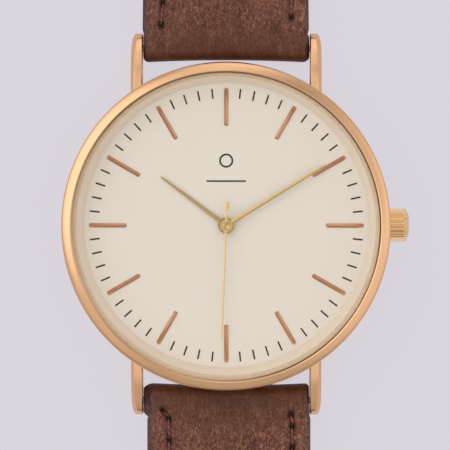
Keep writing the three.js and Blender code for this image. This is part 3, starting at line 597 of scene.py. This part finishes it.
def bezel_ring():
    """A domed ring on the case, with a lip under the crystal and a brow round its upper edge."""
    low, high = box_mm("bezel")
    radius, foot, top = high.x, low.z, high.z
    face = spline([(19.87, 6.52), (19.5, 6.75), (19.02, top - 0.025)], 12)
    corner = fillet([(radius, 6.0), (radius, 6.38), face[0], face[4]], 0.16, 5)[5:-5]
    crest = fillet([face[-2], (18.96, top), (18.86, top - 0.05), (BEZEL_BROW, 6.76)], 0.03, 3)[4:-4]
    brow = [(BEZEL_BROW, 6.75), (BEZEL_BROW, BEZEL_BROW_Z + 0.01), (BEZEL_BORE, BEZEL_BROW_Z)]
    inside = [*brow, (BEZEL_BORE, 5.77), (BEZEL_LIP + 0.02, 5.75), (BEZEL_LIP, 5.62)]
    rim = [(BEZEL_LIP + 0.05, foot), (19.72, foot), (radius, 5.74), (radius, 6.0)]
    return lathe("bezel_ring", [*corner, *face[1:-1], *crest, *inside, *rim])


def crystal_disc():
    low, high = box_mm("crystal")
    edge = [(high.x, low.z), (high.x, high.z - 0.3), (high.x - 0.3, high.z)]
    return lathe("crystal_disc", [(0, low.z), *fillet(edge, 0.03, 3), (0, high.z)], sharp=20)


def gasket_ring():
    """The pale gasket round the crystal, with a thin foot under the crystal's edge."""
    high = box_mm("crystal_gasket")[1]
    low, high_foot = box_mm("bezel")[0].z + 0.165, box_mm("crystal")[0].z - 0.01
    inner = box_mm("crystal")[1].x + 0.02
    foot = [(18.25, high_foot), (18.25, low), (high.x, low)]
    return lathe("gasket_ring", [*foot, (high.x, high.z), (inner, high.z), (inner, high_foot)])


def back_cover():
    """The snap-on back: a brushed flat, two turned grooves and a lever notch in its rim."""
    high = box_mm("caseback")[1]
    thick = 0.6
    flat = [(0, 0)]
    for groove in (12.6, 14.4):
        flat += [(groove, 0), (groove + 0.1, 0.06), (groove + 0.3, 0.06), (groove + 0.4, 0)]
    edge = [(15.2, 0.0), (16.0, 0.08), (16.6, 0.22), (17.0, 0.4), (high.x, 0.55), (high.x, thick)]
    rim = [(16.25, thick), (16.25, high.z), (15.9, high.z), (15.9, thick), (0, thick)]
    cover = lathe("back_cover", [*flat, *edge, *rim])
    notch = prism("notch", fillet(rectangle(16.7, -1.6, 17.6, 1.6), 0.3), -1, 0.42)
    return boolean(cover, [turn_clockwise(notch, 45)], "DIFFERENCE")


place(case_body(), "case", "case_gold", GOLD, "case_middle")
place(bezel_ring(), "case", "case_gold", GOLD, "bezel")
place(crystal_disc(), "case", "crystal_glass", CRYSTAL_GLASS, "crystal")
place(gasket_ring(), "case", "gasket_rubber", GASKET_NYLON, "crystal_gasket")
place(back_cover(), "case", "back_steel", BACK_STEEL, "caseback")

# ---------------------------------------------------------------- dial

DIAL_EDGE, _, DIAL_TOP = box_mm("dial")[1]


def dial_face():
    """A plate with a hole in its middle for the hands' arbors."""
    hole, thick = 0.95, 0.4
    return lathe("dial_face", rectangle(hole, DIAL_TOP - thick, DIAL_EDGE, DIAL_TOP))


def dial_rim():
    """The sloping ring between the dial and the crystal."""
    low, high = box_mm("dial_flange")
    back = [(17.33, low.z), (high.x, low.z), (high.x, high.z)]
    slope = [(18.22, high.z), (18.16, high.z - 0.06), (17.36, low.z + 0.08)]
    return lathe("dial_rim", back + slope)


PRINT_LOW = DIAL_TOP + PRINT_GAP
PRINT_HIGH = PRINT_LOW + PRINT_THICK


def minute_track():
    """A printed tick for each minute between the hour markers."""
    half = TICK_WIDTH / 2
    outline = rectangle(-half, TICK_INNER, half, TICK_OUTER)
    ticks = []
    for minute in range(60):
        if minute % 5:
            ticks.append(turn_clockwise(prism("tick", outline, PRINT_LOW, PRINT_HIGH), minute * 6))
    return join("minute_track", ticks)


def dial_mark():
    """A plain printed ring over a plain printed line, below the 12."""
    ring = lathe("ring", rectangle(0.64, PRINT_LOW, 0.86, PRINT_HIGH), 64)
    ring.data.transform(Matrix.Translation((0, 7.9 * MM, 0)))
    line = prism("line", rectangle(-2.4, 5.3, 2.4, 5.5), PRINT_LOW, PRINT_HIGH)
    return join("dial_mark", [ring, line])


def hour_marker(hour):
    """A roof-shaped bar with a faceted inner end and a rounded outer one."""
    low, high = box_mm("hour_index_12")
    inner, outer, foot = low.y, high.y, low.z
    # Distance from the dial's middle, and the shares of the full width and height there.
    stations = [(inner, 0.78, 0.2), (inner + 0.22, 1, 1)]
    for turn in (0, 0.5, 0.9, 1.2, 1.45):
        y = outer - MARKER_NOSE * (1 - math.sin(turn))
        stations.append((y, math.cos(turn) ** 0.6, 0.35 + 0.65 * math.cos(turn)))
    rings = []
    for y, width, height in stations:
        x, shoulder = MARKER_HALF * width, foot + MARKER_SIDE * height
        ridge = shoulder + (MARKER_RIDGE - MARKER_SIDE) * width * height
        rings.append([(-x, y, foot), (x, y, foot), (x, y, shoulder), (0, y, ridge), (-x, y, shoulder)])
    return turn_clockwise(loft(f"hour_marker_{hour:02d}", rings, sharp=12), hour * 30)


place(dial_face(), "case", "dial_cream", DIAL_CREAM, "dial")
place(dial_rim(), "case", "dial_cream", FLANGE_CREAM, "dial_flange")
place(minute_track(), "case", "dial_cream", INK)
place(dial_mark(), "case", "dial_cream", INK)
for number in range(1, 13):
    place(hour_marker(number), "case", "index_gold", INDEX_GOLD, f"hour_index_{number:02d}")

# ---------------------------------------------------------------- hands


def blade(name, widths, low, side):
    """A hand's blade along +Y from (distance, half width) stations, its top two evenly sloping facets."""
    rings = []
    for y, half in widths:
        ridge = side + 0.5 * half
        rings.append([(-half, y, low), (half, y, low), (half, y, side), (0, y, ridge), (-half, y, side)])
    return loft(name, rings, sharp=8)


def hub(name, radius, bore, low, high):
    """A turned boss with a bored middle and a bevelled shoulder."""
    shoulder = [(radius, high - 0.09), (radius - 0.1, high), (bore + 0.02, high), (bore, high - 0.02)]
    return lathe(name, [(bore, low), (radius, low), *shoulder], 64, sharp=20)


def hour_hand():
    low, high = box_mm("hour_hand")
    widths = [(0.8, 0.26), (3, 0.235), (6, 0.19), (9, 0.135), (9.8, 0.11), (9.98, 0.02)]
    pieces = [blade("blade", widths, 4.32, 4.36), hub("boss", 0.97, 0.73, low.z, high.z)]
    return turn_clockwise(join("hour_blade", pieces), HOUR_ANGLE)


def minute_hand():
    low, high = box_mm("minute_hand")
    widths = [(0.7, 0.25), (5, 0.235), (10, 0.21), (13.7, 0.18), (14.08, 0.03)]
    pieces = [blade("blade", widths, 4.78, 4.8), hub("boss", 0.84, 0.47, low.z, high.z)]
    return turn_clockwise(join("minute_blade", pieces), MINUTE_ANGLE)


def seconds_hand():
    """A needle with a short flared tail and a polished cap over the arbor."""
    low, high = box_mm("seconds_hand")
    needle = blade("needle", [(0.5, 0.12), (7, 0.105), (13.6, 0.085), (13.88, 0.02)], 5.14, 5.19)
    flare = [(-0.5, 0.12), (-1.7, 0.085), (-2.35, 0.23), (-2.9, 0.24), (-2.94, 0.2)]
    tail = blade("tail", flare, 5.14, 5.15)
    side = [(0, low.z), (SECOND_CAP, low.z), (SECOND_CAP, high.z - 0.12)]
    crest = [(SECOND_CAP - 0.08, high.z - 0.02), (SECOND_CAP - 0.14, high.z), (0.24, high.z - 0.05)]
    dimple = [(0.15, high.z - 0.1), (0.14, low.z + 0.04), (0, low.z + 0.04)]
    cap = lathe("cap", side + crest + dimple, 64)
    return turn_clockwise(join("seconds_needle", [needle, tail, cap]), SECOND_ANGLE)


place(hour_hand(), "hours", "hand_gold", HAND_GOLD, "hour_hand")
place(minute_hand(), "minutes", "hand_gold", HAND_GOLD, "minute_hand")
place(seconds_hand(), "seconds", "hand_gold", HAND_GOLD, "seconds_hand")

# ---------------------------------------------------------------- crown


def fluted_crown():
    """A barrel with round-bottomed flutes that run out on its bevelled end."""
    low, high = box_mm("crown")
    radius, centre = (high.y - low.y) / 2, (high.z + low.z) / 2
    inner, outer = low.x, high.x
    # Distance along the crown, radius, and how deep the flutes are there.
    stations = [(inner, 1.93, 0.8), (inner + 0.05, radius, 1), (inner + 0.09, radius, 1)]
    stations += [(outer - 0.66, radius, 1), (outer - 0.6, radius, 1), (outer - 0.5, radius - 0.02, 0.9)]
    stations += [(outer - 0.42, radius - 0.1, 0.4), (outer - 0.36, 1.78, 0), (outer - 0.14, 1.48, 0)]
    stations += [(outer - 0.06, 1.36, 0), (outer - 0.01, 1.15, 0), (outer, 0.5, 0), (outer, 0.02, 0)]
    per_flute = 12
    rings = []
    for x, reach, depth in stations:
        ring = []
        for k in range(CROWN_FLUTES * per_flute):
            wave = 0.5 + 0.5 * math.cos(TURN * k / per_flute)
            r = reach - FLUTE_DEPTH * depth * max(0.9 - wave, 0) ** 0.7
            angle = TURN * k / (CROWN_FLUTES * per_flute)
            ring.append((x, r * math.cos(angle), centre + r * math.sin(angle)))
        rings.append(ring)
    return loft("fluted_crown", rings, sharp=60)


place(fluted_crown(), "crown", "case_gold", CROWN_GOLD_PAINTED_PALE, "crown")

# ---------------------------------------------------------------- strap


def edge_round(distance, radius, least):
    """How much of its half thickness the leather keeps at a distance in from its cut edge."""
    if distance >= radius:
        return 1.0
    return least + (1 - least) * math.sqrt(max(1 - (1 - max(distance, 0) / radius) ** 2, 0))


def bell(distance, width):
    return math.exp(-((distance / width) ** 2))


def strap_widths(form):
    """The half width against distance, with rounded corners at the lug end and a pointed tail."""
    plain = smooth_curve(form["half_width"])
    roll, radius = form["roll"]
    start = roll - radius

    def value(s):
        width = plain(s)
        if s < start + CORNER_ROUND:
            width -= 0.55 * (1 - math.sqrt(max(1 - (1 - (s - start) / CORNER_ROUND) ** 2, 0)))
        if form is LONG and s > TAIL_START:
            share = (s - TAIL_START) / (form["length"] - TAIL_START)
            width *= max(1 - share**2.1, 0) ** 0.62
        return width

    return value


def needle_holes(form, side):
    """(length, inset) of each needle hole along the left (0) or right (1) seam of a half."""
    holes = list(form["stitches"][side])
    while holes[-1][0] + STITCH_PITCH < form["seam_end"]:
        holes.append((holes[-1][0] + STITCH_PITCH, holes[-1][1]))
    return holes


def seam_inset(holes, s):
    """How far in from the edge the seam runs at a length."""
    for (s0, inset0), (s1, inset1) in zip(holes, holes[1:]):
        if s <= s1:
            return inset0 + (inset1 - inset0) * min(max((s - s0) / (s1 - s0), 0), 1)
    return holes[-1][1]


def strap_stations(form):
    """Lengths to sample a half at, closer together over its ends."""
    roll, radius = form["roll"]
    length, step = form["length"], 0.28
    values = {roll - radius * math.cos(math.pi / 2 * k / 12) for k in range(13)}
    values |= {roll + step * k for k in range(int((length - roll) / step))}
    end = 1.2 if form is SHORT else 3.0
    values |= {length - end + end * math.sin(math.pi / 2 * k / 12) for k in range(13)}
    ordered = sorted(values)
    kept = [ordered[0]]
    for value in ordered[1:]:
        if value - kept[-1] > 0.012:
            kept.append(value)
    return kept


def strap_columns():
    """Shares of the half width to sample across a half at, closer at its edges and stitch lines."""
    insets = [0, 0.04, 0.12, 0.25, 0.4, 0.6, 0.85, 1.2, 1.6, *(1.8 + 0.1 * k for k in range(14))]
    side = [1 - inset / STRAP_HALF for inset in insets]
    middle = [side[-1] * k / 7 for k in range(-6, 7)]
    return [-share for share in side] + middle + side[::-1]


def strap_section(form):
    """The height of a half's middle and its half thickness, against length."""
    under, thick = smooth_curve(form["under"]), smooth_curve(form["thick"])
    roll, radius = form["roll"]
    fold = form["length"] - FOLD_ROUND

    def value(s):
        if s < roll:
            return BAR_Z, radius * math.sqrt(max(1 - ((s - roll) / radius) ** 2, 0.0))
        half = thick(s) / 2
        middle = under(s) + half
        if form is SHORT and s > fold:
            half *= math.sqrt(max(1 - ((s - fold) / FOLD_ROUND) ** 2, 0.0))
        return middle, half

    return value


def seam_marks(seam, s):
    """At a length: how far in the seam runs, how fully it has begun, and how near a needle hole is."""
    begun = bell(max(seam[0][0] - s, s - seam[-1][0], 0), 0.5)
    nearest = min(abs(s - hole[0]) for hole in seam)
    return seam_inset(seam, s), begun, bell(nearest, 0.5)


def wrinkles(x, s, towards):
    slow = noise.noise(Vector((x * 0.9, s * 0.5, towards * 7))) * 0.035
    return slow + noise.noise(Vector((x * 3.1, s * 2.0, 3))) * 0.012


def strap_half(name, form):
    """One half as a padded slab: smooth rolled ends, crowned top, sunk seams and needle holes."""
    section, widths, columns = strap_section(form), strap_widths(form), strap_columns()
    start = form["roll"][0] - form["roll"][1]
    seams = [needle_holes(form, side) for side in (0, 1)]
    tops, bottoms, shades, edges, ends = [], [], [], [], []
    for s in strap_stations(form):
        middle, half = section(s)
        width = widths(s)
        squeeze = min(max((form["lining"] - s) / 0.3, 0), 1) * min((s - start) / 0.6, 1)
        marks = [seam_marks(seam, s) for seam in seams]
        for share in columns:
            x = share * width
            inset, side = width - abs(x), int(x >= 0)
            line, begun, pierced = marks[side]
            groove = bell(inset - line, STITCH_SPREAD) * begun
            hole = groove * pierced
            keep = edge_round(inset, EDGE_ROUND[side], 0.5)
            if form is LONG and s > TAIL_START:
                keep *= edge_round(form["length"] - s, 0.5, 0.4)
            fall = STRAP_CROWN * (share**2 if width > 0.5 else 1)
            sunk = fall + STITCH_GROOVE * groove + STITCH_HOLE * hole
            top = middle + half * keep + wrinkles(x, s, form["towards"]) * keep - sunk
            bow = 0.26 * (1 - (x / STRAP_HALF) ** 2) * math.exp(-(s - start) / 3)
            at, along = x + form["shift"], form["towards"] * (BAR_Y + s + bow)
            # The squeezed lining draws the outermost points out with it, and they are painted dark as
            # shade.
            lined = squeeze if inset < 0.01 else 0
            reach = LINING_REACH - abs(math.copysign(width, x) + form["shift"])
            spread = math.copysign(max(reach, 0), x)
            tops.append((at + lined * spread, along, max(top, middle - half * keep + 0.01)))
            bottoms.append((at + squeeze * spread, along, middle - half * keep))
            # Painted shade in the stitch grooves and needle holes, and on the squeezed lining.
            shades.append((1 - 0.55 * groove) * (1 - 0.97 * min(1.4 * hole, 1)) * (1 - 0.9 * lined))
            edges.append(min(max(1.25 - inset / (0.85 * EDGE_ROUND[side]), 0), 1) * (1 - lined))
            # Painted shade at the lug end, where the strap rolls down; it reaches further along the strap
            # in its middle.
            fade = 1.9 + 3.6 * (1 - (x / 10.2) ** 2)
            ends.append(math.exp(-((max(s - start - 0.3, 0) / fade) ** 2)))
    return strap_mesh(name, tops, bottoms, {"shade": shades, "edge": edges, "end": ends}, len(columns))


def strap_mesh(name, tops, bottoms, weights, across):
    """A closed skin over the top points and under the bottom ones, both in rows across the strap."""
    count = len(tops)
    along = count // across
    faces = []
    for i in range(along - 1):
        for j in range(across - 1):
            a, b = i * across + j, i * across + j + 1
            c, d = b + across, a + across
            faces += [(a, b, c, d), (count + a, count + d, count + c, count + b)]
        for j in (0, across - 1):
            a, d = i * across + j, (i + 1) * across + j
            faces.append((a, d, count + d, count + a))
    for i in (0, along - 1):
        for j in range(across - 1):
            a, b = i * across + j, i * across + j + 1
            faces.append((a, b, count + b, count + a))
    both = {label: values + values for label, values in weights.items()}
    both["shade"] = weights["shade"] + [UNDER_SHADE * v for v in weights["shade"]]
    return make_mesh(name, tops + bottoms, faces, 180, both)


def stitches(name, form):
    """Threads lying in the groove from hole to hole, dipping into the leather at both ends."""
    under, thick = smooth_curve(form["under"]), smooth_curve(form["thick"])
    widths = strap_widths(form)
    threads = []
    for side, sign in ((0, -1), (1, 1)):
        holes = needle_holes(form, side)
        for (s0, _), (s1, _) in zip(holes, holes[1:]):
            gap = min(0.22, 0.2 * (s1 - s0))
            rings = []
            for k in range(9):
                t = k / 8
                s = s0 + gap + (s1 - s0 - 2 * gap) * t
                x = sign * (widths(s) - seam_inset(holes, s)) + form["shift"] + 0.1 * (t - 0.5)
                arch = math.sin(math.pi * t) ** 0.5 if 0 < t < 1 else 0
                z = under(s) + thick(s) - STITCH_GROOVE - 0.22 + 0.18 * arch
                wide, tall = 0.15 * (0.55 + 0.45 * arch), 0.13 * (0.55 + 0.45 * arch)
                y = form["towards"] * (BAR_Y + s)
                rings.append([(x + a, y, z + b) for a, b in rounded_rect(wide, tall, 0.11, 3)])
            threads.append(loft("thread", rings, sharp=60))
    return join(name, threads)


def strap_6_half():
    half = strap_half("strap_6_leather", LONG)
    punches = []
    for k in range(HOLE_COUNT):
        centre = (LONG["shift"], -(BAR_Y + HOLE_FIRST + k * HOLE_PITCH))
        punches.append(prism("punch", circle(HOLE_RADIUS, 32, centre), -1, 5))
    return boolean(half, punches, "DIFFERENCE", sharp=50)


def strap_12_half():
    half = strap_half("strap_12_leather", SHORT)
    slot = prism("slot", rectangle(-1.25, BUCKLE_Y - 3, 1.25, BUCKLE_Y + 3), -1, 6)
    tunnel = rod_x("tunnel", 0.72, -12, 12, BUCKLE_Y, BUCKLE_Z)
    return boolean(half, [slot, tunnel], "DIFFERENCE", sharp=50)


def keeper(name, node):
    """A leather loop of rounded section round the strap."""
    low, high = box_mm(node)
    half_width, top = high.x, high.z
    middle_y, half_length = (low.y + high.y) / 2, (high.y - low.y) / 2
    wall = 1.0
    centre = [(-half_width + wall / 2, wall / 2), (half_width - wall / 2, wall / 2)]
    centre += [(half_width - wall / 2, top - wall / 2), (-half_width + wall / 2, top - wall / 2)]
    path = fillet(centre, 1.0, 8)
    section = rounded_rect(half_length, wall / 2 - 0.02, 0.3, 4)
    rings = []
    for i, (x, z) in enumerate(path):
        before, after = Vector(path[i - 1]), Vector(path[(i + 1) % len(path)])
        tangent = (after - before).normalized()
        rings.append([(x + tangent.y * v, middle_y + u, z - tangent.x * v) for u, v in section])
    loop = loft(name, rings, closed=True, sharp=60)
    insets = [half_length - abs(v.co.y / MM - middle_y) for v in loop.data.vertices]
    edges = [min(max(1.1 - inset / 0.3, 0.0), 1.0) for inset in insets]
    give_weights(loop.data, {"shade": [1.0] * len(edges), "edge": edges, "end": [0.0] * len(edges)})
    return loop


place(strap_12_half(), "strap_12", "strap_leather", LEATHER, "strap_12")
place(strap_6_half(), "strap_6", "strap_leather", LEATHER, "strap_6")
place(stitches("strap_12_stitches", SHORT), "strap_12", "strap_leather", THREAD)
place(stitches("strap_6_stitches", LONG), "strap_6", "strap_leather", THREAD)
place(keeper("fixed_loop", "fixed_keeper"), "strap_12", "strap_leather", LEATHER, "fixed_keeper")
loose = keeper("sliding_loop", "sliding_keeper")
place(loose, "sliding_keeper", "strap_leather", LEATHER, "sliding_keeper")

# ---------------------------------------------------------------- buckle


def rail_plan(arm_x, front):
    """The right half of the rail's centre line from above: the arm, the corner, half of the front bar."""
    root, corner_x, corner_y = BUCKLE_Y - 1.25, arm_x - BUCKLE_CORNER, front - BUCKLE_CORNER
    arm = [(arm_x, root + (corner_y - root) * k / 16) for k in range(17)]
    turns = [math.pi / 2 * k / 12 for k in range(1, 13)]
    bend = [(corner_x + BUCKLE_CORNER * math.cos(a), corner_y + BUCKLE_CORNER * math.sin(a)) for a in turns]
    shares = [k / 14 for k in range(1, 15)]
    bar = [(corner_x * (1 - t), front + 0.03 * math.sin(math.pi / 2 * t)) for t in shares]
    return arm + bend + bar


def frame_rail():
    """The buckle's frame: two arms from the bar and a bowed front bar, as one rounded rail."""
    y, z, reach = BUCKLE_Y, BUCKLE_Z, BUCKLE_REACH
    plan = rail_plan((BUCKLE_ARM_OUT + BUCKLE_ARM_IN) / 2, y + reach - 1.05)
    path = [Vector((x, at, 0)) for x, at in plan + [(-x, at) for x, at in reversed(plan[:-1])]]
    far, end = y + reach - 2.5, y + reach
    height = smooth_curve([(y - 1.3, 1.0), (y, 1.12), (y + 3, 1.0), (far, 0.95), (end, 0.9)])
    level = smooth_curve([(y - 1.3, z), (y, z), (y + 3, z - 0.25), (far + 0.3, 1.12), (end, 0.92)])
    rings = []
    for i, point in enumerate(path):
        tangent = (path[min(i + 1, len(path) - 1)] - path[max(i - 1, 0)]).normalized()
        sideways = Vector((tangent.y, -tangent.x, 0))
        from_end = min(i, len(path) - 1 - i) / 4
        taper = math.sqrt(1 - (1 - min(from_end, 1)) ** 2) * 0.6 + 0.4
        wide = 0.8 + 0.22 * min(max((point.y - y - 5.5) / 2, 0), 1)
        section = rounded_rect(wide, height(point.y) * taper, 0.45, 4)
        up = level(point.y)
        rings.append([tuple(point + sideways * u + Vector((0, 0, up + v))) for u, v in section])
    return loft("buckle_rail", rings, sharp=60)


def tongue_plate():
    """A plate rolled round the bar, running out over the front bar to a blunt tip."""
    y, z, reach = BUCKLE_Y, BUCKLE_Z, BUCKLE_REACH
    half_thick = 0.25
    wrap = BUCKLE_BAR + half_thick
    turns = [math.radians(d) for d in range(-40, -271, -15)]
    path = [(y + wrap * math.cos(a), z + wrap * math.sin(a)) for a in turns]
    tip = [(y + reach - 2.5, z + 0.42), (y + reach + 0.15, z - 0.05)]
    path += spline([(y + 0.3, z + wrap), (y + 4, z + 0.62), *tip], 24)[1:]
    rings = []
    for i, (at, up) in enumerate(path):
        after, before = path[min(i + 1, len(path) - 1)], path[max(i - 1, 0)]
        tangent = Vector((after[0] - before[0], after[1] - before[1])).normalized()
        half_width = 1.02 - 0.25 * i / (len(path) - 1)
        section = rounded_rect(half_width, half_thick - 0.01, 0.2, 3)
        rings.append([(u, at - tangent.y * v, up + tangent.x * v) for u, v in section])
    return loft("tongue_plate", rings, sharp=60)


place(frame_rail(), "buckle", "case_gold", GOLD, "buckle_frame")
place(tongue_plate(), "tongue", "case_gold", GOLD, "buckle_tongue")

# ---------------------------------------------------------------- pieces that keep their frame mesh

KEPT = {
    "part_steel": PART_STEEL,
    "wheel_brass": WHEEL_BRASS,
    "frame_plastic": FRAME_PLASTIC,
    "coil_copper": COIL_COPPER,
    "board_green": BOARD_GREEN,
    "gasket_rubber": GASKET_RUBBER,
}
for entry in frame["record"]["subparts"]:
    if entry["material_slot"] in KEPT:
        kept = frame["nodes"][entry["node"]]
        kept.data.materials.clear()
        kept.data.materials.append(KEPT[entry["material_slot"]])

# ---------------------------------------------------------------- floor, light and camera


def floor():
    """A pale surface that glows like a light table, so that the shadows on it stay faint."""
    made = Nodes("floor_lavender", rgb(70, 69, 72), 0.9, **{"Specular IOR Level": 0.1})
    made.set("Emission Color", made.mix(made.noise(90, 2), rgb(218, 213, 221), rgb(216, 210, 218)))
    made.set("Emission Strength", 0.93)
    surface = prism("floor", rectangle(-900, -900, 900, 900), -3, -0.03)
    surface.data.materials.append(made.material)


# The surround: strength at the horizon and above 30 degrees, then soft lobes as (azimuth clockwise from
# 12, elevation, angular radius, added strength at the middle).
SKY_LOW, SKY_HIGH = 0.14, 0.6
LOBES = [
    (0, 90, 50, 0.3),
    (292, 40, 42, 0.95),
    (0, 35, 25, 0.3),
    (95, 35, 55, 0.38),
    (245, 35, 35, 0.2),
    (40, 5, 70, 0.4),
    (48, 41, 40, -0.42),
]


def world_light():
    """A pale surround, brighter overhead, with the lobes as soft panels in it."""
    world = bpy.data.worlds.new("studio")
    world.use_nodes = True
    sky = Tree(world.node_tree)
    direction = sky.node("ShaderNodeTexCoord").outputs["Generated"]

    def facing(towards, start, end, low, high):
        """Eases from low to high as directions turn towards the given one."""
        inputs = {0: direction, 1: Vector(towards).normalized()}
        along = sky.node("ShaderNodeVectorMath", inputs, operation="DOT_PRODUCT").outputs["Value"]
        return sky.remap(along, start, end, low, high, interpolation_type="SMOOTHSTEP")

    total = facing((0, 0, 1), 0.0, 0.5, SKY_LOW, SKY_HIGH)
    for azimuth, elevation, radius, strength in LOBES:
        a, e = math.radians(azimuth), math.radians(elevation)
        towards = (math.sin(a) * math.cos(e), math.cos(a) * math.cos(e), math.sin(e))
        total = sky.math("ADD", total, facing(towards, math.cos(math.radians(radius)), 1, 0, strength))
    background = sky.tree.nodes["Background"]
    sky.feed(background.inputs["Strength"], total)
    sky.feed(background.inputs["Color"], (1, 0.985, 0.975, 1))
    bpy.context.scene.world = world


def key_light():
    """A wide soft box high to the upper left, for the faint shadows of the hands."""
    data = bpy.data.lights.new("softbox", "AREA")
    data.shape = "DISK"
    data.size = 0.9
    data.energy = 0.8
    lamp = bpy.data.objects.new("softbox", data)
    lamp.location = (-0.35, 0.4, 0.9)
    lamp.rotation_euler = (-lamp.location).to_track_quat("-Z", "Y").to_euler()
    lamp.visible_glossy = False
    bpy.context.scene.collection.objects.link(lamp)


VIEW_WIDTH = 54.53  # millimetres across the picture at the bezel's height
VIEW_DISTANCE = 600.0
VIEW_TILT = (math.radians(0.9), math.radians(3.3))  # towards the crown, and towards 12 o'clock
VIEW_CENTRE = (-0.1, 0.226)


def camera():
    data = bpy.data.cameras.new("camera")
    data.angle = 2 * math.atan(VIEW_WIDTH / 2 / VIEW_DISTANCE)
    data.clip_start = 0.01
    eye = bpy.data.objects.new("camera", data)
    aim = Vector((*VIEW_CENTRE, box_mm("bezel")[1].z))
    back = Vector((math.tan(VIEW_TILT[0]), math.tan(VIEW_TILT[1]), 1)).normalized()
    right = Vector((0, 1, 0)).cross(back).normalized()
    axes = Matrix((right, back.cross(right), back)).transposed().to_4x4()
    eye.matrix_world = Matrix.Translation((aim + back * VIEW_DISTANCE) * MM) @ axes
    bpy.context.scene.collection.objects.link(eye)
    bpy.context.scene.camera = eye


floor()
world_light()
key_light()
camera()
bpy.context.scene.view_settings.view_transform = "Standard"
